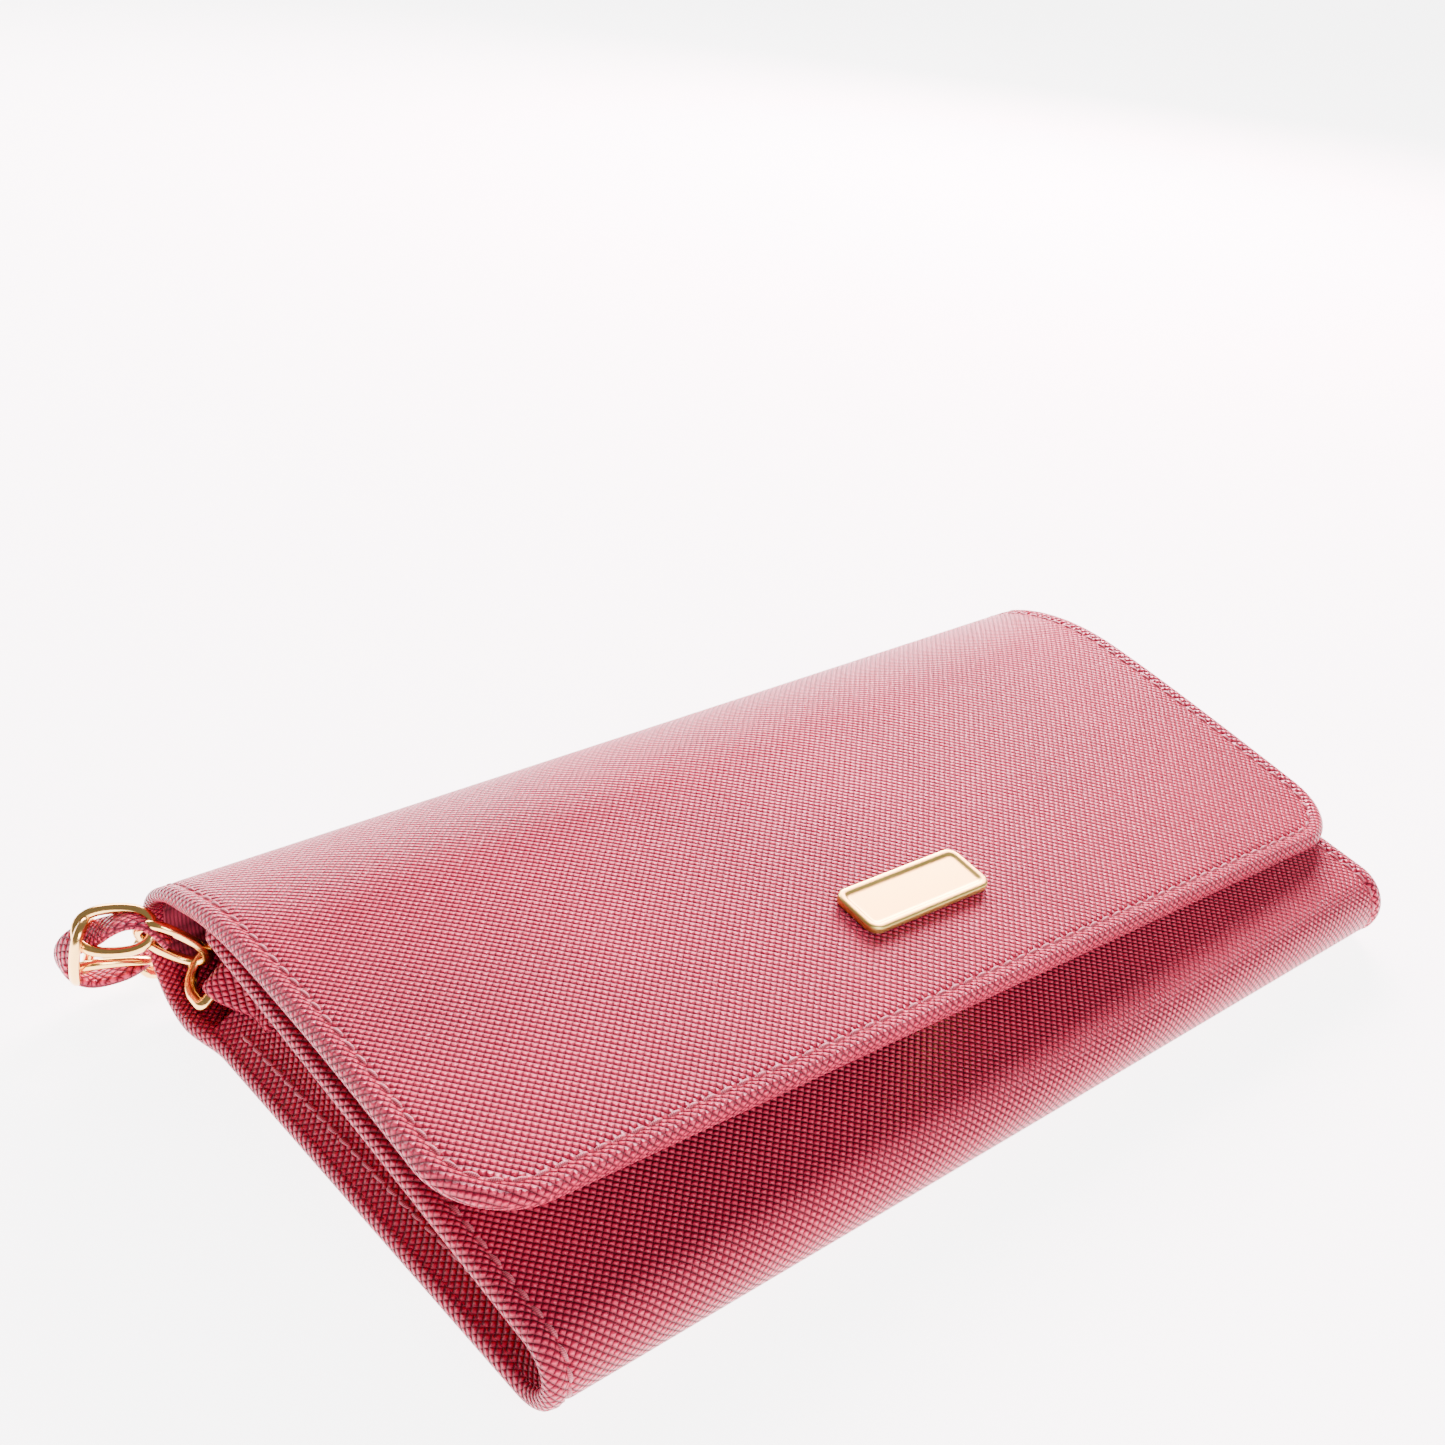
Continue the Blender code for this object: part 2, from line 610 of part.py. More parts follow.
def make_snap():
    """Snap fastener: a socket riveted to the front, a stud riveted to the flap lining."""
    parts = bpy.data.objects
    post_hole = POST + GAP
    front = on_front(SNAP_UP, GAP)
    height, floor, mouth = 2.6 * MM, 0.8 * MM, 3.5 * MM
    sink = FRONT_LEATHER + 2 * GAP + BOARD
    socket = turned("snap_socket", [
        (0.0, floor), (mouth, floor), (mouth, height), (SNAP_RADIUS - 0.5 * MM, height),
        (SNAP_RADIUS, height - 0.6 * MM), (SNAP_RADIUS, 0.0), (POST, 0.0), (POST, -sink), (0.0, -sink)],
        GOLD)
    socket.matrix_world = front
    board_z = -(GAP + FRONT_LEATHER + GAP + BOARD)
    backing = turned("snap_socket_washer", washer_profile(SNAP_RADIUS - 1 * MM, post_hole, BOARD),
                     GOLD, closed=True)
    backing.matrix_world = front @ Matrix.Translation((0, 0, board_z))
    cut_hole(parts["front_panel"], front, post_hole, 8 * MM, "socket_post_hole")
    cut_hole(parts["front_board"], front, SNAP_RADIUS - 0.7 * MM, 8 * MM, "socket_washer_hole")

    depth = LEATHER + 2.4 * GAP + BOARD + CLOTH + GAP
    under = on_flap(0.0, STUD_UP, -depth) @ Matrix.Rotation(math.pi, 4, "X")
    base, stud, reach = 1.4 * MM, 2.4 * MM, 3.0 * MM
    male = turned("snap_stud", [
        (0.0, reach), (stud - 0.4 * MM, reach), (stud, reach - 0.4 * MM), (stud, base),
        (SNAP_RADIUS - 0.5 * MM, base), (SNAP_RADIUS, base - 0.4 * MM), (SNAP_RADIUS, 0.0),
        (POST, 0.0), (POST, -1.3 * MM), (0.0, -1.3 * MM)], GOLD)
    male.matrix_world = under
    cap = turned("snap_stud_washer", washer_profile(SNAP_RADIUS - 1 * MM, post_hole, 0.4 * MM), GOLD,
                 closed=True)
    cap.matrix_world = on_flap(0.0, STUD_UP, -(LEATHER + 1.4 * GAP + 0.4 * MM))
    cut_hole(parts["flap_lining"], under, post_hole, 4 * MM, "stud_post_hole")
    cut_hole(parts["flap_board"], under, SNAP_RADIUS - 0.7 * MM, 6 * MM, "stud_washer_hole")


def make_name_plate():
    """Plain gold plate on the flap, on two pins with washers behind the leather."""
    stand = on_flap(0.0, PLATE_UP, GAP)
    face = plate("name_plate", PLATE_LENGTH, PLATE_HEIGHT, PLATE_THICK, (0, 0, 0), GOLD, edge=0.35 * MM)
    face.data.transform(Matrix.Translation((0, 0, PLATE_THICK / 2)))
    face.matrix_world = stand
    flap, board = bpy.data.objects["flap_panel"], bpy.data.objects["flap_board"]
    length = LEATHER + 2 * GAP + BOARD
    for side, sign in (("left", -1), ("right", 1)):
        spot = stand @ Matrix.Translation((sign * PIN_SPACING / 2, 0, 0))
        pin = cutter_rod(f"plate_pin_{side}", 0.6 * MM, length + 0.6 * MM,
                         spot @ Matrix.Translation((0, 0, 0.3 * MM - length / 2)))
        combine(face, pin, "UNION")
        cut_hole(flap, spot, 0.9 * MM, 6 * MM, f"plate_pin_hole_{side}")
        cut_hole(board, spot, 2.7 * MM, 8 * MM, f"plate_washer_hole_{side}")
        washer = turned(f"plate_washer_{side}", washer_profile(2.3 * MM, 0.9 * MM, 0.4 * MM), GOLD,
                        16, closed=True)
        washer.matrix_world = spot @ Matrix.Translation((0, 0, -(GAP + LEATHER + GAP + 0.4 * MM)))


# Wrist strap

STRAP_ROUTE = (
    (-96.4, 98.0, 13.0), (-99.5, 98.4, 16.0), (-103.6, 99.4, 16.8), (-106.8, 100.8, 14.4),
    (-107.4, 102.4, 10.2), (-105.4, 104.4, 6.6), (-101.6, 107.4, 4.9), (-97.0, 110.4, 4.3),
    (-91.0, 112.6, 4.3), (-82.0, 114.8, 4.3), (-70.0, 116.4, 4.3), (-57.0, 114.4, 4.3),
    (-44.0, 111.8, 4.3), (-31.0, 113.0, 4.3), (-18.0, 116.6, 4.3), (-5.0, 117.2, 4.3),
    (8.0, 114.0, 4.3), (20.0, 111.8, 4.3), (33.0, 113.4, 4.3), (46.0, 116.8, 4.3),
    (58.0, 117.0, 4.3), (71.0, 113.6, 4.3), (83.0, 112.2, 4.3), (93.0, 112.0, 4.3),
    (99.0, 110.2, 4.6), (103.8, 106.8, 6.2), (106.4, 103.0, 9.4), (105.8, 100.2, 12.8),
    (102.0, 98.4, 14.4), (96.4, 98.0, 13.0),
)


def smooth_route(points, steps):
    """Points at even steps along a Catmull-Rom curve through the route."""
    ends = [points[0] * 2 - points[1]] + points + [points[-1] * 2 - points[-2]]
    fine = []
    for i in range(len(points) - 1):
        a, b, c, d = ends[i:i + 4]
        for j in range(16):
            t = j / 16
            fine.append(0.5 * ((2 * b) + (c - a) * t + (2 * a - 5 * b + 4 * c - d) * t * t
                               + (3 * b - a - 3 * c + d) * t ** 3))
    fine.append(points[-1])
    lengths = [0.0]
    for before, after in zip(fine, fine[1:]):
        lengths.append(lengths[-1] + (after - before).length)
    even, i = [], 0
    for k in range(steps):
        target = lengths[-1] * k / (steps - 1)
        while i < len(lengths) - 2 and lengths[i + 1] < target:
            i += 1
        share = (target - lengths[i]) / (lengths[i + 1] - lengths[i])
        even.append(fine[i].lerp(fine[i + 1], share))
    return even


def make_strap():
    """Wrist strap from ring to ring: the round space that chain and lace fill."""
    route = [Vector((x * MM, *level(up * MM, z * MM))) for x, up, z in STRAP_ROUTE]
    return wire("wrist_strap", smooth_route(route, STRAP_STEPS), STRAP_RADIUS, 2, GOLD)


def carry(label, up, z, names):
    """Hang moving pieces on an empty that stands on their joint's axis."""
    axis = bpy.data.objects.new(label, None)
    WALLET.objects.link(axis)
    axis.location = (0, *level(up, z))
    for name in names:
        piece = bpy.data.objects[name]
        piece.parent = axis
        piece.matrix_parent_inverse = Matrix.Translation(axis.location).inverted()


def hang_moving_pieces():
    """Group what moves with the front, the spine and the flap."""
    carry("front_axis", FOLD_RADIUS, FOLD_RADIUS, [
        "front_panel", "front_board", "front_lining", "snap_socket", "snap_socket_washer",
        "zip_pocket_wall", "zip_tape_front", "zip_tape_back", "zip_teeth_front", "zip_teeth_back",
        "zip_stop_left", "zip_stop_right"])
    carry("spine_axis", HINGE_UP, HINGE_INSET, ["spine_panel", "spine_lining", "spine_fold_upper"])
    carry("flap_axis", HINGE_UP, FLAP_HINGE_Z, [
        "flap_panel", "flap_board", "flap_lining", "snap_stud", "snap_stud_washer",
        "name_plate", "plate_washer_left", "plate_washer_right"])


def build():
    """Make every piece of the wallet."""
    make_back_panel()
    make_bottom_fold()
    make_front_panel()
    make_spine()
    make_flap()
    lining_top = make_back_layers()
    make_front_layers()
    make_card_slots(lining_top)
    make_pocket_wall()
    make_zip()
    make_slider()
    make_puller()
    for side, sign in (("left", -1), ("right", 1)):
        make_gusset(f"gusset_{side}", sign)
        make_tab(f"ring_tab_{side}", sign)
        make_ring(f"d_ring_{side}", sign)
    make_snap()
    make_name_plate()
    make_strap()
    hang_moving_pieces()


build()
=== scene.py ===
# %% [markdown]
# # A flap wallet with a chain wrist strap
# The wallet is a sandwich of leather, board and cloth folded round a body about
# 190 mm long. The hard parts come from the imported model, which also says how
# everything moves. This lesson makes what the eye sees: leather with its grain,
# rolled edges and thread, the lining, and the gold fittings.

# %% Load the frame
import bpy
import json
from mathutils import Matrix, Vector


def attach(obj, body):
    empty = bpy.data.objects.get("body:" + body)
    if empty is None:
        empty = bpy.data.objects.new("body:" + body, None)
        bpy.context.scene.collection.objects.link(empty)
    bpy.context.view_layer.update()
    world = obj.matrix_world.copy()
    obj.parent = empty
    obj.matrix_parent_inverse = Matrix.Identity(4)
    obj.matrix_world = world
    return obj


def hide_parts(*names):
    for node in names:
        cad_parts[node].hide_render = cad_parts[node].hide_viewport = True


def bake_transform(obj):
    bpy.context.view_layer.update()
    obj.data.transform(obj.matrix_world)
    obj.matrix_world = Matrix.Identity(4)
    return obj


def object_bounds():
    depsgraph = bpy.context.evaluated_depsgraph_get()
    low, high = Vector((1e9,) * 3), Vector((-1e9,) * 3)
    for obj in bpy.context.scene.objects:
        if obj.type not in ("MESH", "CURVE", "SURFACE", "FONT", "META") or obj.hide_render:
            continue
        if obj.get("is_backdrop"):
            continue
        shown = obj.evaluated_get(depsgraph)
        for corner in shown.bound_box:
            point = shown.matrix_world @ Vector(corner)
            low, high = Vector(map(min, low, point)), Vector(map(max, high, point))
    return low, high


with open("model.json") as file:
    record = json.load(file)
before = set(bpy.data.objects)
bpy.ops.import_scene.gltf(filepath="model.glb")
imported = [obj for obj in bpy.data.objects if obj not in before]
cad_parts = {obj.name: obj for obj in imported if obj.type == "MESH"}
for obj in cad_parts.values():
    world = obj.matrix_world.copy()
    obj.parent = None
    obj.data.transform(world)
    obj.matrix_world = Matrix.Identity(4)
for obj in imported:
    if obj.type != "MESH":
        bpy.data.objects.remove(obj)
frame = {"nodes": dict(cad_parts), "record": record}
cad_box = [list(corner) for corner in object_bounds()]

import json
import math

import bmesh
import bpy
import numpy as np
from mathutils import Matrix, Vector

MM = 0.001
BOTTOM_FOLD_Y = cad_box[0][1]
print("size in mm:", [round((b - a) * 1000, 1) for a, b in zip(*cad_box)])

# %% [markdown]
# ## The camera
# The wallet is seen from its left front corner and from above, close enough for
# the near end to look clearly larger. The camera is set by where it stands, the
# point it looks at, a slight roll and the length of its lens.

# %% Camera
CAMERA_PLACE = (-0.1793, -0.1643, 0.1834)
CAMERA_AIM = (0.0240, 0.0555, 0.0120)
CAMERA_ROLL = math.radians(6.19)
CAMERA_LENS = 43.34


def stand_camera(place, aim, roll, lens):
    """A camera at place looking at aim, turned by roll about its line of sight."""
    ahead = (Vector(aim) - Vector(place)).normalized()
    side = ahead.cross(Vector((0, 0, 1))).normalized()
    above = side.cross(ahead)
    right = side * math.cos(roll) + above * math.sin(roll)
    upward = above * math.cos(roll) - side * math.sin(roll)
    data = bpy.data.cameras.new("camera")
    data.lens = lens
    data.sensor_width = 36
    data.clip_start = 0.01
    data.clip_end = 20
    camera = bpy.data.objects.new("camera", data)
    bpy.context.scene.collection.objects.link(camera)
    turn = Matrix((right, upward, -ahead)).transposed().to_4x4()
    camera.matrix_world = Matrix.Translation(place) @ turn
    bpy.context.scene.camera = camera


stand_camera(CAMERA_PLACE, CAMERA_AIM, CAMERA_ROLL, CAMERA_LENS)
print("camera stands at", tuple(round(c, 3) for c in bpy.context.scene.camera.location))

# %% [markdown]
# ## Turning arrays into pieces
# Every new piece is a grid of points in millimetres: x across, up from the bottom
# fold, and out of the front. Rows of the grid that close on themselves make a
# tube, and two grids back to back make a slab. A closed skin has a volume, and its
# sign tells whether the faces point outwards.

# %% Mesh helpers
def to_world(points):
    """Points from millimetres across, up and out to metres in the frame."""
    return points * MM + [0.0, BOTTOM_FOLD_Y, 0.0]


def unit(v):
    """Vectors scaled to length one."""
    return v / np.maximum(np.linalg.norm(v, axis=-1, keepdims=True), 1e-12)


def run_along(line):
    """The distance from a line's start to each of its points."""
    return np.concatenate([[0], np.cumsum(np.linalg.norm(np.diff(line, axis=0), axis=1))])


def read_at(spots, run, values):
    """Points given at distances along a run, read at other distances."""
    return np.stack([np.interp(spots, run, column) for column in values.T], axis=1)


def blunt(wave, power):
    """A sine or cosine raised to a power with its sign kept: a circle turns squarer."""
    return np.sign(wave) * np.abs(wave) ** power


def grid_faces(rows, columns, wrap_rows=False, wrap_columns=False):
    """Quads between neighbours of a grid, joined end to start where it wraps."""
    i = np.arange(rows if wrap_rows else rows - 1)
    j = np.arange(columns if wrap_columns else columns - 1)
    i, j = (a.ravel() for a in np.meshgrid(i, j, indexing="ij"))
    k, m = (i + 1) % rows, (j + 1) % columns
    return np.stack([i * columns + j, i * columns + m, k * columns + m, k * columns + j], axis=1)


def slab(outer, inner):
    """A closed sheet between two grids of one size: its points and its faces."""
    loop = np.concatenate([outer, inner[:, ::-1]], axis=1)
    rows, around = loop.shape[:2]
    j = np.arange(outer.shape[1] - 1)
    cap = np.stack([j, j + 1, around - 2 - j, around - 1 - j], axis=1)
    sides = grid_faces(rows, around, wrap_columns=True)
    return loop.reshape(-1, 3), np.vstack([sides, cap[:, ::-1], cap + (rows - 1) * around])


def write_grain(mesh, uv):
    """Store one UV place for each point, which every corner there takes."""
    layer = mesh.uv_layers.new(name="grain")
    corners = np.zeros(len(mesh.loops), np.int32)
    mesh.loops.foreach_get("vertex_index", corners)
    layer.data.foreach_set("uv", uv[corners].astype(np.float32).ravel())


def link_mesh(name, mesh):
    """Put a mesh in the scene as an object at the origin."""
    obj = bpy.data.objects.new(name, mesh)
    bpy.context.scene.collection.objects.link(obj)
    return obj


def make_piece(name, points, faces, uv=None, smooth=60):
    """One object from points and quads: doubles merged, faces outwards, softly shaded."""
    points = to_world(points)
    faces = np.asarray(faces)
    a, b, c, d = (points[faces[:, k]] for k in range(4))
    volume = np.einsum("ij,ij->i", a, np.cross(b, c) + np.cross(c, d)).sum()
    if volume < 0:
        faces = faces[:, ::-1]
    mesh = bpy.data.meshes.new(name)
    mesh.from_pydata(points.tolist(), [], faces.tolist())
    if uv is not None:
        write_grain(mesh, uv)
    body = bmesh.new()
    body.from_mesh(mesh)
    bmesh.ops.remove_doubles(body, verts=body.verts, dist=2e-6)
    bmesh.ops.dissolve_degenerate(body, edges=body.edges, dist=1e-7)
    body.to_mesh(mesh)
    body.free()
    mesh.shade_smooth()
    mesh.set_sharp_from_angle(angle=math.radians(smooth))
    print(f"{name}: {len(mesh.polygons)} faces")
    return link_mesh(name, mesh)


def tube_points(path, side, out, radius, turns):
    """A ring of points round each path point: path + radius (cos a side + sin a out)."""
    a = np.linspace(0, 2 * np.pi, turns, endpoint=False)
    circle = np.cos(a)[:, None] * side[..., None, :] + np.sin(a)[:, None] * out[..., None, :]
    return path[..., None, :] + radius * circle

# %% [markdown]
# ## Shader arithmetic
# A finish is worked out with sums on sockets. A small class wraps a socket so
# that a sum in Python becomes Math nodes, and a finish holds the node tree.

# %% Finish helpers
class Value:
    """A number that varies over a surface; arithmetic on it adds Math nodes."""

    def __init__(self, finish, socket):
        self.finish, self.socket = finish, socket

    def maths(self, operation, *others):
        values = {i: v for i, v in enumerate((self, *others))}
        return self.finish.node("ShaderNodeMath", {"operation": operation}, values)

    def __add__(self, other):
        return self.maths("ADD", other)

    def __sub__(self, other):
        return self.maths("SUBTRACT", other)

    def __rsub__(self, other):
        return self.finish.node("ShaderNodeMath", {"operation": "SUBTRACT"}, {0: other, 1: self})

    def __mul__(self, other):
        return self.maths("MULTIPLY", other)

    def __pow__(self, other):
        return self.maths("POWER", other)


class Finish:
    """One material being made, on a Principled shader."""

    def __init__(self, name, **shader):
        self.material = bpy.data.materials.new(name)
        self.material.use_nodes = True
        self.tree = self.material.node_tree
        self.shader = self.tree.nodes["Principled BSDF"]
        for socket, value in shader.items():
            self.shader.inputs[socket.replace("_", " ")].default_value = value

    def node(self, kind, settings=None, values=None, output=0):
        """Add a node: its settings first, then its sockets' values or links."""
        made = self.tree.nodes.new(kind)
        for key, value in (settings or {}).items():
            setattr(made, key, value)
        for key, value in (values or {}).items():
            if isinstance(value, Value):
                self.tree.links.new(value.socket, made.inputs[key])
            else:
                made.inputs[key].default_value = value
        return Value(self, made.outputs[output])

    def coordinates(self, kind):
        """Where a point is: the piece's own grain map (UV) or its place (Object)."""
        return self.node("ShaderNodeTexCoord", output={"UV": 2, "Object": 3}[kind])

    def split(self, vector):
        """The three parts of a vector."""
        parts = self.node("ShaderNodeSeparateXYZ", None, {0: vector}).socket.node
        return [Value(self, socket) for socket in parts.outputs]

    def noise(self, vector, scale, detail=2.0):
        """Soft random values from 0 to 1."""
        values = {"Vector": vector, "Scale": scale, "Detail": detail}
        return self.node("ShaderNodeTexNoise", None, values)

    def grooves(self, distance, pitch):
        """A row of ridges with a groove every pitch: the size of a sine, 0 to 1."""
        return (distance * (math.pi / pitch)).maths("SINE").maths("ABSOLUTE")

    def blend(self, factor, first, second):
        """A colour between two colours."""
        tones = [t if isinstance(t, Value) else (*t, 1) for t in (first, second)]
        values = {0: factor, 6: tones[0], 7: tones[1]}
        return self.node("ShaderNodeMix", {"data_type": "RGBA"}, values, 2)

    def bump(self, height, strength, distance):
        """A normal from a height."""
        values = {"Height": height, "Strength": strength, "Distance": distance}
        return self.node("ShaderNodeBump", None, values)

    def feed(self, **sockets):
        """Link values to the shader's sockets."""
        for name, value in sockets.items():
            self.tree.links.new(value.socket, self.shader.inputs[name.replace("_", " ")])
        return self.material


# %% [markdown]
# ## Leather
# The leather is pressed with a fine cross-hatched grain: two sets of grooves at
# 45 degrees to the edges, about a millimetre apart, leave small hard lozenges
# that catch the light. Two sine waves make the grooves, a little noise bends
# them, and the colour is painted darker in the grooves as painted shade.

# %% Cross-grain leather
GRAIN_PITCH = 0.94 * MM
# The first colour is painted shade for the grooves, the second the leather's own colour.
PAINTED_GROOVE_SHADE, GRAIN_BRIGHT = (0.075, 0.001, 0.006), (0.74, 0.030, 0.095)
SHEEN_TINT = (1.0, 0.50, 0.60, 1)


def cross_grain(name, place):
    """Leather whose grain follows the piece's UV map or its Object place."""
    finish = Finish(name, Roughness=0.4, Specular_IOR_Level=0.34, Specular_Tint=SHEEN_TINT)
    where = finish.coordinates(place)
    wander = (finish.noise(where, 380.0) - 0.5) * 0.9
    along, up, _ = finish.split(where)
    turn = math.pi / (GRAIN_PITCH * 1.414)
    one = ((along + up) * turn + wander).maths("SINE").maths("ABSOLUTE") ** 0.55
    two = ((along - up) * turn - wander).maths("SINE").maths("ABSOLUTE") ** 0.7
    speckle = finish.noise(where, 2400.0)
    cloud = finish.noise(where, 30.0, 3.0)
    lozenge = two * (one * 0.76 + 0.24)
    tone = lozenge * 0.86 + speckle * 0.22 + cloud * 0.3 - 0.28
    tone = tone.maths("MAXIMUM", 0.0).maths("MINIMUM", 1.0)
    # Painted shade: the grooves are coloured darker than the leather, standing in for the shade that
    # falls in them.
    colour = finish.blend(tone, PAINTED_GROOVE_SHADE, GRAIN_BRIGHT)
    rough = 0.60 - lozenge * 0.36 + (cloud - 0.5) * 0.12
    normal = finish.bump(lozenge + speckle * 0.25, 1.0, 0.58 * MM)
    return finish.feed(Base_Color=colour, Roughness=rough, Normal=normal)


leather = cross_grain("raspberry_leather", "UV")
flat_leather = cross_grain("raspberry_leather_small_parts", "Object")
print("leather finishes:", leather.name, flat_leather.name)

# %% [markdown]
# ## Thread, cloth, tape and board
# Thread is twisted, so its shine runs in slanting stripes. The lining is a plain
# weave, the zip's tape a twill, and the board a felted grey fibre.

# %% Cloth and thread
def thread_finish():
    """Twisted thread: slanting plies, darker where they meet."""
    finish = Finish("raspberry_thread", Roughness=0.5, Sheen_Weight=0.25)
    along, across, _ = finish.split(finish.coordinates("UV"))
    ply = ((along * 9.0 + across * 2.0) * math.pi).maths("SINE").maths("ABSOLUTE")
    colour = finish.blend(ply, (0.12, 0.004, 0.014), (0.50, 0.045, 0.090))
    return finish.feed(Base_Color=colour, Normal=finish.bump(ply, 0.5, 0.06 * MM))


def weave_finish(name, deep, bright, pitch, slant=0.0):
    """Cloth: threads a pitch apart both ways, the warp leaning by the slant."""
    finish = Finish(name, Roughness=0.9, Sheen_Weight=0.04, Specular_IOR_Level=0.2)
    where = finish.coordinates("Object")
    along, up, _ = finish.split(where)
    warp = finish.grooves(along + up * slant, pitch)
    weft = finish.grooves(up, pitch)
    cloud = finish.noise(where, 60.0)
    height = warp * 0.5 + weft * 0.5
    colour = finish.blend((height**2.0) * 0.85 + cloud * 0.3 - 0.1, deep, bright)
    return finish.feed(Base_Color=colour, Normal=finish.bump(height, 0.9, 0.2 * MM))


thread = thread_finish()
lining = weave_finish("lining_cloth", (0.09, 0.004, 0.014), (0.36, 0.030, 0.070), 0.62 * MM)
tape = weave_finish("zip_tape_twill", (0.20, 0.015, 0.045), (0.40, 0.05, 0.10), 0.6 * MM, 1.0)
board = weave_finish("fibre_board", (0.42, 0.38, 0.33), (0.60, 0.55, 0.48), 1.4 * MM)
print("cloth finishes:", lining.name, tape.name, board.name)

# %% [markdown]
# ## Gold plating
# The fittings are brass with a bright pale gold plating. Handling leaves a faint
# haze, so the roughness is clouded and very fine scratches bend the reflections.

# %% Gold
def gold_finish(name, low, high, base):
    """Plated brass, its roughness clouded between low and high."""
    finish = Finish(name, Metallic=1.0)
    where = finish.coordinates("Object")
    haze = finish.noise(where, 240.0, 4.0)
    scratch = finish.noise(where, 3800.0)
    colour = finish.blend(haze, [c * 0.86 for c in base], base)
    rough = haze * (high - low) + low
    normal = finish.bump(scratch, 0.06, 0.02 * MM)
    return finish.feed(Base_Color=colour, Roughness=rough, Normal=normal)


gold = gold_finish("gold_plating", 0.10, 0.26, (1.0, 0.60, 0.20))
satin_gold = gold_finish("satin_gold", 0.32, 0.46, (0.70, 0.56, 0.15))
print("metal finishes:", gold.name, satin_gold.name)

# %% [markdown]
# ## The strap's route
# The strap is the one free cord. It leaves the ring at the top left corner, curls
# out past the end of the wallet, drops to the table and runs in slack waves close
# behind the spine to the ring at the other corner. A smooth curve through its
# points is read at even steps.

# %% Strap route
STRAP_ROUTE = np.array((
    (-95.6, 98.4, 13.4), (-99.4, 101.4, 16.4), (-103.6, 104.4, 16.4), (-106.9, 107.2, 13.0),
    (-107.2, 108.8, 8.6), (-104.6, 107.8, 5.3), (-100.2, 105.8, 4.3), (-95.4, 107.2, 4.2),
    (-90.0, 110.9, 4.3), (-82.0, 114.2, 4.3), (-70.0, 116.4, 4.3), (-57.0, 114.4, 4.3),
    (-44.0, 111.8, 4.3), (-31.0, 113.0, 4.3), (-18.0, 116.6, 4.3), (-5.0, 117.2, 4.3),
    (8.0, 114.0, 4.3), (20.0, 111.8, 4.3), (33.0, 113.4, 4.3), (46.0, 116.8, 4.3),
    (58.0, 117.0, 4.3), (71.0, 113.6, 4.3), (83.0, 112.2, 4.3), (93.0, 112.0, 4.3),
    (99.0, 110.2, 4.6), (103.8, 106.8, 6.2), (106.4, 103.0, 9.4), (105.8, 100.2, 12.8),
    (102.0, 98.4, 14.4), (96.4, 98.0, 13.0),
))


def smooth_route(points, step):
    """Even steps along the Catmull-Rom curve through the points, as one array."""
    p = np.vstack([2 * points[0] - points[1], points, 2 * points[-1] - points[-2]])
    a, b, c, d = p[:-3, None], p[1:-2, None], p[2:-1, None], p[3:, None]
    t = np.linspace(0, 1, 24, endpoint=False)[None, :, None]
    square, cube = 2 * a - 5 * b + 4 * c - d, 3 * b - a - 3 * c + d
    curve = 0.5 * (2 * b + (c - a) * t + square * t**2 + cube * t**3)
    curve = np.vstack([curve.reshape(-1, 3), points[-1:]])
    run = run_along(curve)
    even = np.linspace(0, run[-1], int(round(run[-1] / step)) + 1)
    return even, read_at(even, run, curve)


def strap_side(ahead):
    """The strap's flat side at each place: square to its direction, as near +Y as may be."""
    return unit(np.array([0.0, 1.0, 0.0]) - ahead[:, 1:2] * ahead)


ROUTE_STEP = 0.5
run, centre = smooth_route(STRAP_ROUTE, ROUTE_STEP)
print(f"strap route: {run[-1]:.1f} mm")

# %% [markdown]
# ## Lace and chain
# A flat leather lace is threaded through a chain, over one joint and under the
# next, so it waves from face to face. Each link is an oval of round wire, turned
# a quarter turn from its neighbours.

# %% Lace
LINK_PITCH = 10.3
LACE_WIDTH, LACE_THICK, LACE_WAVE = 4.6, 1.7, 1.6
WAVE_START, WAVE_EASE = 7.4, 8.0


def lace_piece():
    """A rounded flat strip along the waving route: face offset is a cosine of the run."""
    ahead = unit(np.gradient(centre, run, axis=0))
    side = strap_side(ahead)
    ends = np.clip(np.minimum(run, run[-1] - run) / WAVE_EASE, 0, 1)[:, None]
    wave = LACE_WAVE * ends * np.cos(np.pi * (run[:, None] + WAVE_START) / LINK_PITCH)
    path = centre + np.cross(ahead, side) * wave
    ahead = unit(np.gradient(path, run, axis=0))
    face = unit(np.cross(ahead, side))
    a = np.linspace(0, 2 * np.pi, 20, endpoint=False)
    wide = blunt(np.cos(a), 0.55) * LACE_WIDTH / 2
    thick = blunt(np.sin(a), 0.75) * LACE_THICK / 2
    rings = path[:, None] + wide[:, None] * side[:, None] + thick[:, None] * face[:, None]
    around = np.where(np.sin(a) >= 0, wide, LACE_WIDTH - wide) * MM
    uv = np.stack(np.broadcast_arrays(around, run[:, None] * MM), axis=-1).reshape(-1, 2)
    obj = strip_piece("strap_lace", rings, path, np.vstack([uv, uv[:1], uv[-1:]]))
    return obj, to_world(path)


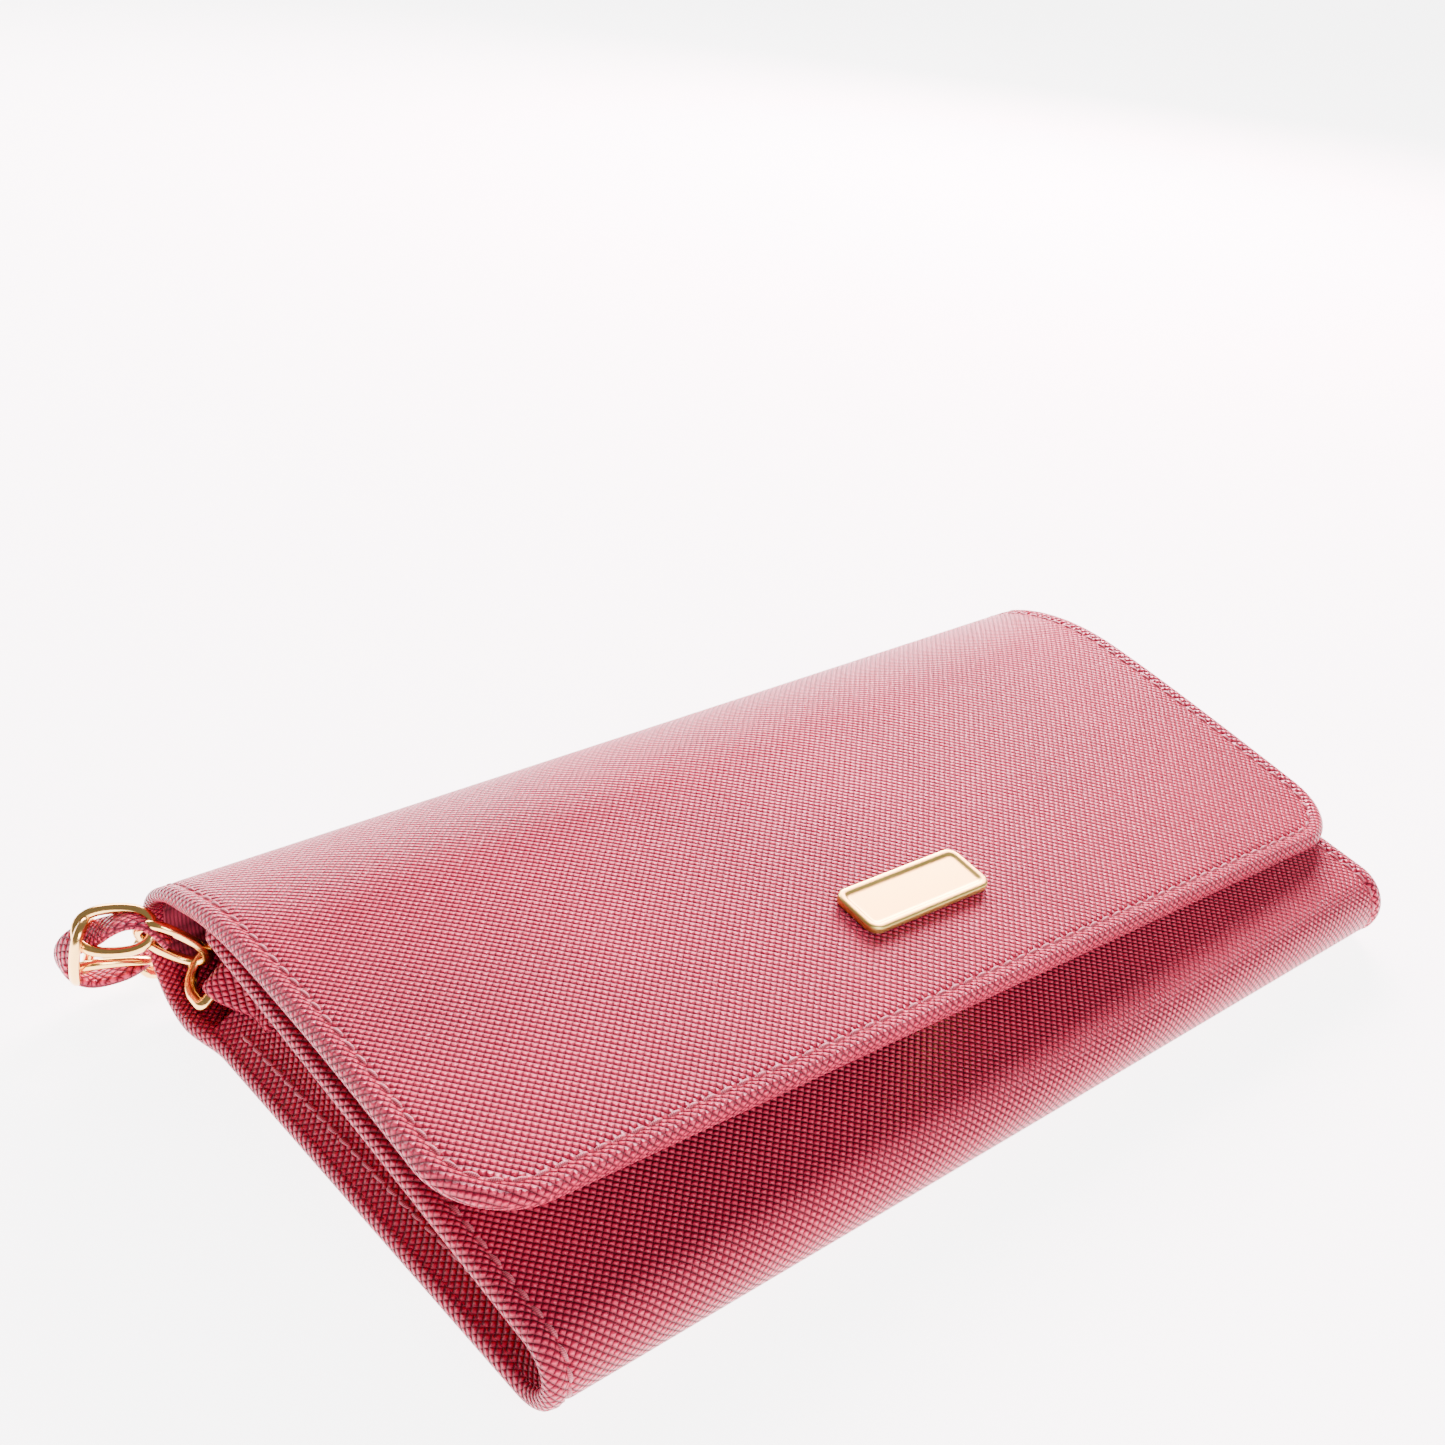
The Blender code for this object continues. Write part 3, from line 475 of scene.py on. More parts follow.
def strip_piece(name, rings, path, uv):
    """A tube of rings whose two ends are fans round the path's own ends."""
    rows, columns = rings.shape[:2]
    last = (rows - 1) * columns
    pairs = [(j, (j + 1) % columns) for j in range(columns)]
    fans = [[k, j, rows * columns] for j, k in pairs]
    fans += [[last + j, last + k, rows * columns + 1] for j, k in pairs]
    points = to_world(np.vstack([rings.reshape(-1, 3), path[:1], path[-1:]]))
    sides = grid_faces(rows, columns, wrap_columns=True)
    mesh = bpy.data.meshes.new(name)
    mesh.from_pydata(points.tolist(), [], sides.tolist() + fans)
    write_grain(mesh, uv)
    body = bmesh.new()
    body.from_mesh(mesh)
    bmesh.ops.recalc_face_normals(body, faces=body.faces)
    body.to_mesh(mesh)
    body.free()
    mesh.shade_smooth()
    print(f"{name}: {len(mesh.polygons)} faces")
    return link_mesh(name, mesh)


lace, lace_path = lace_piece()
lace.data.materials.append(leather)
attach(lace, "wallet_back")
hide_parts("wrist_strap")

# %% Chain
LINK_LONG, LINK_WIDE, LINK_WIRE = 13.4, 8.4, 0.85
OVAL_POINTS, WIRE_SIDES = 32, 10
CHAIN_FIRST, CHAIN_LAST = [-91.2, 97.6, 9.2], [91.2, 97.6, 9.2]


def chain_piece():
    """Ovals of round wire: each point is the link's middle plus an oval in its own plane."""
    run, path = smooth_route(np.vstack([CHAIN_FIRST, STRAP_ROUTE, CHAIN_LAST]), ROUTE_STEP)
    count = int(round(run[-1] / LINK_PITCH))
    spots = (np.arange(count) + 0.5) * run[-1] / count
    reach = LINK_LONG / 2 - 2 * LINK_WIRE
    front, rear = read_at(spots + reach, run, path), read_at(spots - reach, run, path)
    ahead = unit(front - rear)
    middle = (front + rear) / 2
    side = strap_side(ahead)
    face = np.cross(ahead, side)
    lean = np.where(np.arange(count) % 2 == 0, 1.0, -1.0)[:, None] * math.radians(45)
    wide = np.cos(lean) * side + np.sin(lean) * face
    flat = np.cross(ahead, wide)
    t = np.linspace(0, 2 * np.pi, OVAL_POINTS, endpoint=False)
    u = (LINK_LONG / 2 - LINK_WIRE) * blunt(np.cos(t), 0.86)
    v = (LINK_WIDE / 2 - LINK_WIRE) * blunt(np.sin(t), 0.8)
    oval = middle[:, None] + u[:, None] * ahead[:, None] + v[:, None] * wide[:, None]
    step = unit(np.roll(oval, -1, axis=1) - np.roll(oval, 1, axis=1))
    normal = np.cross(step, flat[:, None])
    flat = np.broadcast_to(flat[:, None], oval.shape)
    rings = tube_points(oval, normal, flat, LINK_WIRE, WIRE_SIDES)
    one = grid_faces(OVAL_POINTS, WIRE_SIDES, True, True)
    first = np.arange(count)[:, None, None] * OVAL_POINTS * WIRE_SIDES
    print("links:", count)
    return make_piece("strap_chain", rings.reshape(-1, 3), (first + one[None]).reshape(-1, 4))


chain = chain_piece()
chain.data.materials.append(gold)
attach(chain, "wallet_back")
lace_path[::3].tolist() + [lace_path[-1].tolist()]

# %% [markdown]
# ## One long piece of leather
# The outer leather is a single length: up the front, round the bottom fold, up
# the back, over the spine and down the flap. Its profile is worked out once, as
# distances along the leather, so the grain runs on without a break.

# %% Profile of the leather
FRONT_TOP, FOLD_RADIUS, FRONT_SLOPE = 88.0, 6.5, math.radians(7.2)
BODY_HALF, FLAP_HALF, FLAP_EDGE, FLAP_TOP = 95.0, 96.7, 12.5, 92.5
FRONT_CORNER, FLAP_CORNER, FOOT_IN, SEAM_GAP = 2.5, 13.0, 2.5, 0.8
SPINE_HALF, CREST_RISE, CREST_TURN = 14.2, 13.8, math.radians(59)
SPINE_UP, SPINE_REACH, CREST_UP, CREST_REACH = 93, 13, 79, 27
CREST_Z, FALL_LEFT, FALL_MORE, FALL_EASE = 29.1, 2.2, 9.7, 0.35
DOME_RISE, SHOULDER_UP, SHOULDER_DROP = 1.7, 71.8, 2.9
PROFILE_STEP = 0.25


def flap_height(x, up):
    """The flap's face: a crest, less a fall to the front edge that grows to the right,
    a dome on the left, and a shoulder that falls off towards the spine."""
    away = (FLAP_TOP - up) / (FLAP_TOP - FLAP_EDGE)
    fall = (np.hypot(away, FALL_EASE) - FALL_EASE) / (math.hypot(1.0, FALL_EASE) - FALL_EASE)
    right = x / (2 * BODY_HALF) + 0.5
    dome = DOME_RISE * (1 - right) * np.sin(np.pi * np.clip(away, 0, 1))
    shoulder = np.maximum(0, up - SHOULDER_UP) / (FLAP_TOP - SHOULDER_UP)
    return CREST_Z - (FALL_LEFT + FALL_MORE * right) * fall + dome - SHOULDER_DROP * shoulder**2


def leather_profile():
    """Up and out distances every quarter millimetre, and where each part starts."""
    slant = np.array([math.cos(FRONT_SLOPE), math.sin(FRONT_SLOPE)])
    foot = FOLD_RADIUS * np.array([1 - math.sin(FRONT_SLOPE), 1 + math.cos(FRONT_SLOPE)])
    front = foot + slant * np.linspace((FRONT_TOP - foot[0]) / slant[0], 0, 60)[:, None]
    a = np.linspace(math.pi / 2 + FRONT_SLOPE, 1.5 * math.pi, 60)
    fold = FOLD_RADIUS * (1 + np.stack([np.cos(a), np.sin(a)], axis=1))
    back = np.stack([np.linspace(FOLD_RADIUS, SPINE_UP, 80), np.zeros(80)], axis=1)
    a = np.linspace(-math.pi / 2, 0, 60)
    low = np.stack([SPINE_UP + SPINE_REACH * np.cos(a), SPINE_HALF * (1 + np.sin(a))], axis=1)
    a = np.linspace(0, CREST_TURN, 60)
    high = np.stack([CREST_UP + CREST_REACH * np.cos(a), SPINE_HALF + CREST_RISE * np.sin(a)], axis=1)
    up = np.linspace(high[-1, 0], FLAP_EDGE, 80)
    flap = np.stack([up, flap_height(0.0, up)], axis=1)
    parts = [front, fold, back, low, high, flap]
    line = np.vstack([parts[0]] + [p[1:] for p in parts[1:]])
    run = run_along(line)
    marks = run[np.cumsum([len(p) - (k > 0) for k, p in enumerate(parts)]) - 1]
    even = np.arange(0, run[-1] + PROFILE_STEP, PROFILE_STEP)
    soft = np.ones(9) / 9
    smooth = [np.interp(even, run, line[:, k]) for k in (0, 1)]
    for values in smooth:
        values[4:-4] = np.convolve(values, soft, "valid")
    return even, smooth[0], smooth[1], marks


RUN, RUN_UP, RUN_Z, MARKS = leather_profile()
W_FRONT, W_FOLD, W_BACK, W_SPINE, W_CREST = MARKS[:-1]
W_END = float(RUN[-1])
print("leather runs, mm:", [round(float(w)) for w in (*MARKS[:-1], W_END)])

# %% [markdown]
# A point of the leather is found from its place across (x) and along (w). Only the
# flap's height changes across the wallet, so that difference is added there. The
# normal comes from small steps both ways.

# %% Points and normals of the leather
def leather_point(x, w):
    """The outer face at x across and w along, in millimetres."""
    up, z = np.interp(w, RUN, RUN_UP), np.interp(w, RUN, RUN_Z)
    share = np.clip((w - W_CREST + 14) / 14, 0, 1)
    z = z + share * (flap_height(x, up) - flap_height(0.0, up)) * (w > W_SPINE)
    return np.stack(np.broadcast_arrays(x, up, z), axis=-1)


def leather_normal(x, w):
    """Outward normal: across step crossed with along step."""
    across = leather_point(x + 0.5, w) - leather_point(x - 0.5, w)
    along = leather_point(x, np.minimum(w + 0.5, W_END)) - leather_point(x, np.maximum(w - 0.5, 0))
    return unit(np.cross(along, across))


def half_width(w):
    """Half the leather's width: in a little at the bottom fold, out at the spine and flap."""
    up = np.interp(w, RUN, RUN_UP)
    body = BODY_HALF - FOOT_IN * np.maximum(0, 1 - up / FRONT_TOP)
    ease = np.clip((w - (W_BACK - 10)) / 10, 0, 1)
    ease = ease * ease * (3 - 2 * ease)
    return body + (FLAP_HALF - body) * ease


print("normal on the back points down:", leather_normal(0.0, (W_FOLD + W_BACK) / 2).round(2))

# %% [markdown]
# ## Leather skins with rolled edges
# The edge of each panel is turned and stitched, so in section it is a half round
# with a groove just inside where the thread pulls the leather down. Each skin is
# a slab whose face sinks along a quarter circle to its rim. Near the rim the grid
# is fine enough to hold that shape. The way round a quarter circle is longer than
# its radius by ROUND_EXTRA of it, and the grain is shifted so that it doesn't stretch.

# %% Slab builder
GROOVE_IN, GROOVE_DEEP, GROOVE_WIDE = 3.2, 0.34, 0.6
ROLL_IN, ROLL_HIGH, ROLL_WIDE = 1.6, 0.22, 1.1
FINE_BAND, ROW_STEP, SKIN_COLUMNS = 6.6, 1.15, 78
ROUND_EXTRA, TURNED_EDGE = 0.5708, 1.1


def rim_steps(radius):
    """Distances in from a rim: close on the quarter round, then close over the groove."""
    curve = radius * (1 - np.cos(np.linspace(0, np.pi / 2, 7)))
    return np.concatenate([curve, [1.95, 2.25, 2.5, 2.75, 3.0, 3.2, 3.4, 3.65, 3.9, 4.2, 4.8, 5.6]])


def rounded_reach(half, from_end, corner):
    """Half the width of a panel with round corners, at a distance in from its end."""
    into = np.clip(corner - from_end, 0, corner)
    return half - corner + np.sqrt(np.maximum(corner**2 - into**2, 0))


def rounded_inset(side, front, corner):
    """How far in from the nearest rim a point is, measured radially in the round corners."""
    a, b = corner - side, corner - front
    round_off = corner - np.hypot(a, b)
    return np.maximum(np.where((a > 0) & (b > 0), round_off, np.minimum(side, front)), 0)


def quarter_drop(d, r):
    """How far a quarter round of radius r has fallen at a distance d in from the rim."""
    return r - np.sqrt(np.maximum(r**2 - (r - np.minimum(d, r)) ** 2, 0))


def rim_outward(x, w, half, end, corner):
    """The way to the nearest rim, across and along, as a unit direction."""
    across = np.sign(x)
    if end is None:
        return across, np.zeros_like(across)
    ahead = np.sign(end - w)
    a, b = corner - (half - np.abs(x)), corner - np.abs(end - w)
    length = np.maximum(np.hypot(a, b), 1e-9)
    turn = (a > 0) & (b > 0)
    near_side = half - np.abs(x) < np.abs(end - w)
    return (across * np.where(turn, a / length, near_side),
            ahead * np.where(turn, b / length, ~near_side))


def leather_skin(name, first, last, thick, end=None, corner=0.0, rolled=0.0):
    """A closed slab of leather between two places along the run. end is its rounded rim,
    and rolled is how much thicker the turned edge is."""
    radius = float(thick(np.array(end if end is not None else first))) / 2
    steps = rim_steps(radius)
    count = max(3, int((last - first) / ROW_STEP))
    if end is None:
        w = np.linspace(first, last, count)
    elif end == first:
        w = np.concatenate([first + steps, np.linspace(first + FINE_BAND, last, count)])
    else:
        w = np.concatenate([np.linspace(first, last - FINE_BAND, count), (last - steps)[::-1]])
    half = half_width(w)
    reach = half if end is None else rounded_reach(half, np.abs(end - w), corner)
    inner = np.linspace(-1, 1, SKIN_COLUMNS)[None] * (reach[:, None] - FINE_BAND)
    left = -reach[:, None] + steps[None]
    x = np.hstack([left, inner, -left[:, ::-1]])
    w = np.broadcast_to(w[:, None], x.shape)
    side = half[:, None] - np.abs(x)
    if end is None:
        d = np.maximum(side, 0)
    else:
        d = rounded_inset(side, np.abs(end - w), corner)
    turned = 1 - np.clip((d - 2.3) / 1.4, 0, 1)
    fade = np.clip((W_SPINE - 6 - w) / 12, 0, 1)
    t = thick(w) + rolled * turned * turned * (3 - 2 * turned) * fade
    r = t / 2
    drop = quarter_drop(d, r)
    groove = GROOVE_DEEP * np.exp(-(((d - GROOVE_IN) / GROOVE_WIDE) ** 2))
    roll = ROLL_HIGH * np.exp(-(((d - ROLL_IN) / ROLL_WIDE) ** 2))
    place, normal = leather_point(x, w), leather_normal(x, w)
    top = place - normal * (drop + groove - roll * (t > 2.4))[..., None]
    low = place - normal * (t - drop)[..., None]
    to_x, to_w = rim_outward(x, w, half[:, None], end, corner)
    near = np.minimum(d, r)
    extra = r * np.arccos(1 - near / r) - near
    over = ROUND_EXTRA * r - extra
    grain = np.stack([x + to_x * over, w + to_w * over], axis=-1)
    uv = np.concatenate([grain, grain[:, ::-1]], axis=1)
    obj = make_piece(name, *slab(top, low), uv.reshape(-1, 2) * MM)
    obj.data.materials.append(leather)
    return obj

# %% [markdown]
# The length is cut into three skins, each across one fold that moves: the front
# with the bottom fold, the back with the lower half of the spine, and the flap
# with the upper half.

# %% The three skins
def place_mm(up, z):
    """A point in the frame from distances up and out."""
    return (0.0, up * MM + BOTTOM_FOLD_Y, z * MM)


W_SPLIT = W_FOLD + 6.0
FRONT_BEND = (("wallet_back", "wallet_front"), place_mm(FOLD_RADIUS, 1.8), place_mm(FOLD_RADIUS, 11.2))
SPINE_BEND = (("wallet_back", "spine"), place_mm(93.5, 0.3), place_mm(103.0, 5.0))
FLAP_BEND = (("spine", "flap"), place_mm(103.0, 20.3), place_mm(93.5, 25.8))


def bend(obj):
    """Bake a soft piece's place into its mesh."""
    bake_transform(obj)


def body_thick(w):
    """The front and back are one layer of leather."""
    return 1.6 + 0.2 * np.clip((w - W_FRONT) / 10, 0, 1)


def flap_thick(w):
    """The flap is leather, board and a turned edge; the spine is leather alone."""
    return 1.8 + 1.15 * np.clip((w - W_SPINE) / (W_CREST - W_SPINE), 0, 1) ** 1.5


front_skin = leather_skin("front_leather", 0.0, W_SPLIT, body_thick, end=0.0, corner=FRONT_CORNER,
                          rolled=TURNED_EDGE)
back_skin = leather_skin("back_leather", W_SPLIT, W_SPINE, body_thick, rolled=TURNED_EDGE)
flap_skin = leather_skin("flap_leather", W_SPINE, W_END, flap_thick, end=W_END, corner=FLAP_CORNER)
bend(front_skin)
bend(back_skin)
bend(flap_skin)
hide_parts("front_panel", "bottom_fold")
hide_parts("back_panel", "spine_fold_lower")
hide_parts("flap_panel", "flap_board", "spine_fold_upper", "spine_panel")

# %% [markdown]
# ## Stitching
# A saddle stitch is a short plump thread that dips into the leather at both ends
# and leans a little off the line. One stitch is a small grid of points, and all
# the stitches of a row are that grid placed on every spot at once.

# %% Stitch builder
STITCH_PITCH, STITCH_LONG, STITCH_RADIUS, STITCH_LEAN = 3.0, 2.5, 0.36, 0.14
STITCH_ARCH, STITCH_SINK, LINE_SINK = 0.30, 0.16, 0.30
STITCH_RINGS, STITCH_SIDES = 7, 6


def stitches(name, line, normal, fold, slot="outer_leather"):
    """Threads along a line of points: six-sided spindles, arched over the leather."""
    run = run_along(line)
    count = max(1, int(run[-1] / STITCH_PITCH))
    spots = (np.arange(count) + 0.5) * run[-1] / count
    out = unit(read_at(spots, run, normal))
    ahead = unit(read_at(spots + 0.6, run, line) - read_at(spots - 0.6, run, line))
    ahead = unit(ahead + STITCH_LEAN * np.cross(out, ahead))
    side = np.cross(out, ahead)
    t = np.linspace(-1, 1, STITCH_RINGS)
    a = np.linspace(0, 2 * np.pi, STITCH_SIDES, endpoint=False)
    thickness = STITCH_RADIUS * np.sqrt(np.maximum(1 - (0.96 * t) ** 2, 0.03))
    rise = STITCH_ARCH * (1 - t**2) - STITCH_SINK
    reach = t * STITCH_LONG / 2
    middle = read_at(spots, run, line)[:, None] + reach[None, :, None] * ahead[:, None]
    middle = middle + rise[None, :, None] * out[:, None]
    ring = np.cos(a)[None, :, None] * side[:, None] + np.sin(a)[None, :, None] * out[:, None] * 0.8
    points = middle[:, :, None] + thickness[None, :, None, None] * ring[:, None]
    near_end = np.array([[0, 1, 2, 3], [0, 3, 4, 5]])
    far_end = near_end[:, [3, 2, 1, 0]] + (STITCH_RINGS - 1) * STITCH_SIDES
    one = np.vstack([grid_faces(STITCH_RINGS, STITCH_SIDES, wrap_columns=True), near_end, far_end])
    first = np.arange(count)[:, None, None] * STITCH_RINGS * STITCH_SIDES
    along, round_it = np.meshgrid((t + 1) / 2, a / (2 * np.pi), indexing="ij")
    uv = np.tile(np.stack([along, round_it], axis=-1).reshape(-1, 2), (count, 1))
    obj = make_piece(name, points.reshape(-1, 3), (first + one[None]).reshape(-1, 4), uv, 80)
    obj.data.materials.append(thread)
    bend(obj)


def leather_line(x, w):
    """Points and normals for a stitch line on the leather, down in its groove."""
    x, w = np.broadcast_arrays(np.asarray(x, float), np.asarray(w, float))
    normal = leather_normal(x, w)
    return leather_point(x, w) - normal * LINE_SINK, normal


def u_line(half, end, corner, start):
    """Down one side, round a corner, across the end, round the other and back up."""
    inset, turn = half - GROOVE_IN, corner - GROOVE_IN
    a = np.linspace(0, np.pi / 2, 24)
    straight = np.linspace(start, end - corner, 60)
    corner_x = inset - turn + turn * np.cos(a)
    corner_w = end - corner + turn * np.sin(a)
    across = np.linspace(-(inset - turn), inset - turn, 60)
    x = np.concatenate([np.full(60, -inset), -corner_x, across, corner_x[::-1], np.full(60, inset)])
    front = np.full(60, end - GROOVE_IN)
    w = np.concatenate([straight, corner_w, front, corner_w[::-1], straight[::-1]])
    return x, w


# %% Stitches on the leather
SIDES = (("left", -1), ("right", 1))

x, w = u_line(FLAP_HALF, W_END, FLAP_CORNER, W_SPINE + SEAM_GAP)
stitches("flap_stitches", *leather_line(x, w), FLAP_BEND)
for side, sign in SIDES:
    w = np.linspace(W_SPLIT + SEAM_GAP, W_SPINE - SEAM_GAP, 200)
    stitches(f"back_stitches_{side}", *leather_line(sign * (half_width(w) - GROOVE_IN), w), SPINE_BEND)
    w = np.linspace(4.0, W_SPLIT - SEAM_GAP, 160)
    stitches(f"front_stitches_{side}", *leather_line(sign * (half_width(w) - GROOVE_IN), w), FRONT_BEND)
x = np.linspace(-(BODY_HALF - 4.5), BODY_HALF - 4.5, 80)
stitches("front_top_stitches", *leather_line(x, GROOVE_IN), FRONT_BEND)

# %% [markdown]
# ## Gussets
# Each end is closed by a leather gusset folded inwards like a V, so the front can
# open. It runs from the back's plane to the front's. A stitch
# line runs down its back leg and a short one crosses near the top.

# %% Gussets
GUSSET_HALF, GUSSET_THICK, GUSSET_DEEP, GUSSET_LOW = 93.2, 1.0, 8.8, 2.9
FOLD_INNER, FRONT_INNER = 3.9, 2.4
NORMAL_UP, NORMAL_Z = -math.sin(FRONT_SLOPE), math.cos(FRONT_SLOPE)
GUSSET_BEND = (("wallet_back", "wallet_front"), place_mm(45 - 11 * NORMAL_UP, 16.3 - 11 * NORMAL_Z),
               place_mm(45, 16.3))


def gusset_edges(up):
    """Heights of the gusset's back and front edges, following the fold at the bottom."""
    distance = (up - FOLD_RADIUS * (1 - math.sin(FRONT_SLOPE))) / math.cos(FRONT_SLOPE)
    front = FOLD_RADIUS * (1 + math.cos(FRONT_SLOPE)) + distance * math.sin(FRONT_SLOPE) - FRONT_INNER
    half = np.sqrt(np.maximum(FOLD_INNER**2 - np.maximum(FOLD_RADIUS - up, 0) ** 2, 0.2))
    low = up < FOLD_RADIUS
    return FOLD_RADIUS - half, np.where(low, FOLD_RADIUS + half, front)


def gusset_point(across, up, sign, out=0.0):
    """A folded wall: inset by a sine of the share across, from the back to the front."""
    back, front = gusset_edges(up)
    depth = GUSSET_DEEP * np.clip((up + 2) / 14, 0.3, 1)
    inset = FOOT_IN * np.maximum(0, 1 - up / FRONT_TOP) + depth * np.sin(np.pi * across) ** 0.92
    crease = 0.25 * np.sin(up * 0.33) * np.sin(np.pi * across) ** 2
    z = back + (front - back) * across
    x = sign * (GUSSET_HALF - inset + crease + out)
    return np.stack(np.broadcast_arrays(x, up, z), axis=-1)


def gusset_piece(name, sign):
    """A slab between the inner face and one thickness outside it, closed round its rim."""
    across, up = np.linspace(0, 1, 40)[None], np.linspace(GUSSET_LOW, FRONT_TOP, 90)[:, None]
    inner, outer = gusset_point(across, up, sign), gusset_point(across, up, sign, GUSSET_THICK)
    uv = np.stack(np.broadcast_arrays(across * 30, up), axis=-1)
    uv = np.concatenate([uv, uv[:, ::-1]], axis=1).reshape(-1, 2) * MM
    obj = make_piece(name, *slab(outer, inner), uv)
    obj.data.materials.append(leather)
    bend(obj)
    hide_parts(name)


def gusset_line(across, up, sign):
    """A stitch line on a gusset's outer face."""
    across, up = np.broadcast_arrays(np.asarray(across, float), np.asarray(up, float))
    line = gusset_point(across, up, sign, GUSSET_THICK)
    a = gusset_point(across + 0.01, up, sign) - gusset_point(across - 0.01, up, sign)
    b = gusset_point(across, up + 0.5, sign) - gusset_point(across, up - 0.5, sign)
    normal = unit(np.cross(a, b))
    return line, normal * np.sign(normal[:, :1]) * sign


for side, sign in SIDES:
    gusset_piece(f"gusset_{side}", sign)
    up = np.linspace(5, 83, 80)
    back, front = gusset_edges(up)
    leg = gusset_line(1.5 / (front - back), up, sign)
    top = gusset_line(np.linspace(0.12, 0.34, 20), 83.5, sign)
    stitches(f"gusset_stitches_{side}", *leg, GUSSET_BEND, "gusset_leather")
    stitches(f"tab_stitches_{side}", *top, GUSSET_BEND, "gusset_leather")

# %% [markdown]
# ## The flap's lining
# Inside the flap the cloth is set in from the turned edge. It is a thin slab that
# follows the flap's own surface, just under the leather.

# %% Flap lining
LINING_INSET, LINING_CORNER = 3.4, 10.0
LINING_FACE, LINING_BACK = 2.85, 3.32


def flap_lining_piece():
    """A thin slab under the flap's face, rounded at its front corners."""
    w = np.linspace(W_CREST + 0.4, W_END - LINING_INSET, 90)
    reach = rounded_reach(FLAP_HALF - LINING_INSET, W_END - LINING_INSET - w, LINING_CORNER)
    x = np.linspace(-1, 1, 90)[None] * reach[:, None]
    w = np.broadcast_to(w[:, None], x.shape)
    place, normal = leather_point(x, w), leather_normal(x, w)
    cloth = slab(place - normal * LINING_FACE, place - normal * LINING_BACK)
    obj = make_piece("flap_lining_cloth", *cloth)
    obj.data.materials.append(lining)
    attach(obj, "flap")
    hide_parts("flap_lining")


flap_lining_piece()

# %% [markdown]
# ## D-rings and their tabs
# A D-ring is round wire bent to a straight bar and a bow. Its bar lies in the
# leather tab and slants with it. The path goes round once, and the wire is a
# circle carried along it.

# %% D-rings
RING_X, RING_UP, RING_Z = 90.4, 91.0, 8.6
BAR_ACROSS, BAR_OUT = 0.747, 0.665
BOW_RADIUS, BOW_UP, RING_WIRE, RING_CORNER = 5, 2.5, 1.0, 0.8


def ring_piece(side, sign):
    """Round wire carried along a D: a half circle, then a bar with small corners."""
    a = np.linspace(0, np.pi, 40)
    bow = np.stack([BOW_RADIUS * np.cos(a), BOW_UP + BOW_RADIUS * np.sin(a)], axis=1)
    c = np.linspace(np.pi, 1.5 * np.pi, 8)
    corner = RING_CORNER * np.stack([np.cos(c), 1 + np.sin(c)], axis=1)
    left = corner - [BOW_RADIUS - RING_CORNER, 0]
    path = np.vstack([bow, left, np.stack([np.linspace(-4, 4, 10), np.zeros(10)], axis=1),
                      left[::-1] * [-1, 1]])
    path = np.hstack([path, np.zeros((len(path), 1))])
    ahead = unit(np.roll(path, -1, axis=0) - np.roll(path, 1, axis=0))
    flat = np.broadcast_to(np.array([0.0, 0.0, 1.0]), path.shape)
    rings = tube_points(path, np.cross(ahead, flat), flat, RING_WIRE, 16).reshape(-1, 3)
    bar = np.array([-sign * BAR_ACROSS, 0.0, BAR_OUT])
    up = np.array([0.0, 1.0, 0.0])
    middle = np.array([sign * RING_X, RING_UP, RING_Z])
    points = middle + rings[:, :1] * bar + rings[:, 1:2] * up + rings[:, 2:] * np.cross(bar, up)
    obj = make_piece(f"d_ring_{side}_wire", points, grid_faces(len(path), 16, True, True))
    obj.data.materials.append(gold)
    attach(obj, f"ring_{side}")
    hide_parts(f"d_ring_{side}")


# %% Ring tabs
TAB_TOP, TAB_LONG, TAB_HALF = 93.0, 14.5, 3.1
TAB_THICK, TAB_SWELL, TAB_IN = 1.7, 2.6, 3.3


def tab_piece(side, sign):
    """A leather strip lapped round the ring's bar: a rounded flat section that swells over
    the bar and thins to the foot sewn on the gusset."""
    t = np.linspace(0, 1, 40)
    up = TAB_TOP - TAB_LONG * t
    x = RING_X - TAB_IN * np.clip((t - 0.18) / 0.5, 0, 1) ** 1.3
    thick = TAB_THICK + TAB_SWELL * np.exp(-(((up - 91.2) / 2.0) ** 2))
    close = np.sqrt(np.clip(1 - (1 - np.clip(np.minimum(t, 1 - t) / 0.06, 0, 1)) ** 2, 0.02, 1))
    bar = np.array([-sign * BAR_ACROSS, 0.0, BAR_OUT])
    out = np.array([sign * BAR_OUT, 0.0, BAR_ACROSS])
    a = np.linspace(0, 2 * np.pi, 24, endpoint=False)
    wide = blunt(np.cos(a), 0.4) * TAB_HALF
    deep = blunt(np.sin(a), 0.6) / 2
    path = np.stack([sign * x, up, np.full(len(t), RING_Z)], axis=1)
    rings = path[:, None] + (wide * (0.75 + 0.25 * close[:, None]))[..., None] * bar
    rings = rings + (deep * (thick * close)[:, None])[..., None] * out
    grain = np.stack(np.broadcast_arrays(wide, up[:, None]), axis=-1).reshape(-1, 2)
    uv = np.vstack([grain, [[0, TAB_TOP], [0, TAB_TOP - 15]]])
    obj = strip_piece(f"tab_{side}_leather", rings, path, uv * MM)
    obj.data.materials.append(leather)
    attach(obj, "wallet_back")
    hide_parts(f"ring_tab_{side}")


for side, sign in SIDES:
    tab_piece(side, sign)
for side, sign in SIDES:
    ring_piece(side, sign)

# %% [markdown]
# ## The name plate
# A plain pale-gold plate sits on the flap. It is a rounded rectangle with a soft
# raised border round a flat field, curved edges all round, and no lettering.

# %% Name plate
PLATE_LONG, PLATE_HIGH, PLATE_CORNER, PLATE_THICK = 27.0, 10.0, 2.2, 1.2
PLATE_UP, PLATE_LIFT, RIM_RADIUS = 34.0, 0.3, 0.45
BORDER_WIDE, BORDER_HIGH = 1.25, 0.28


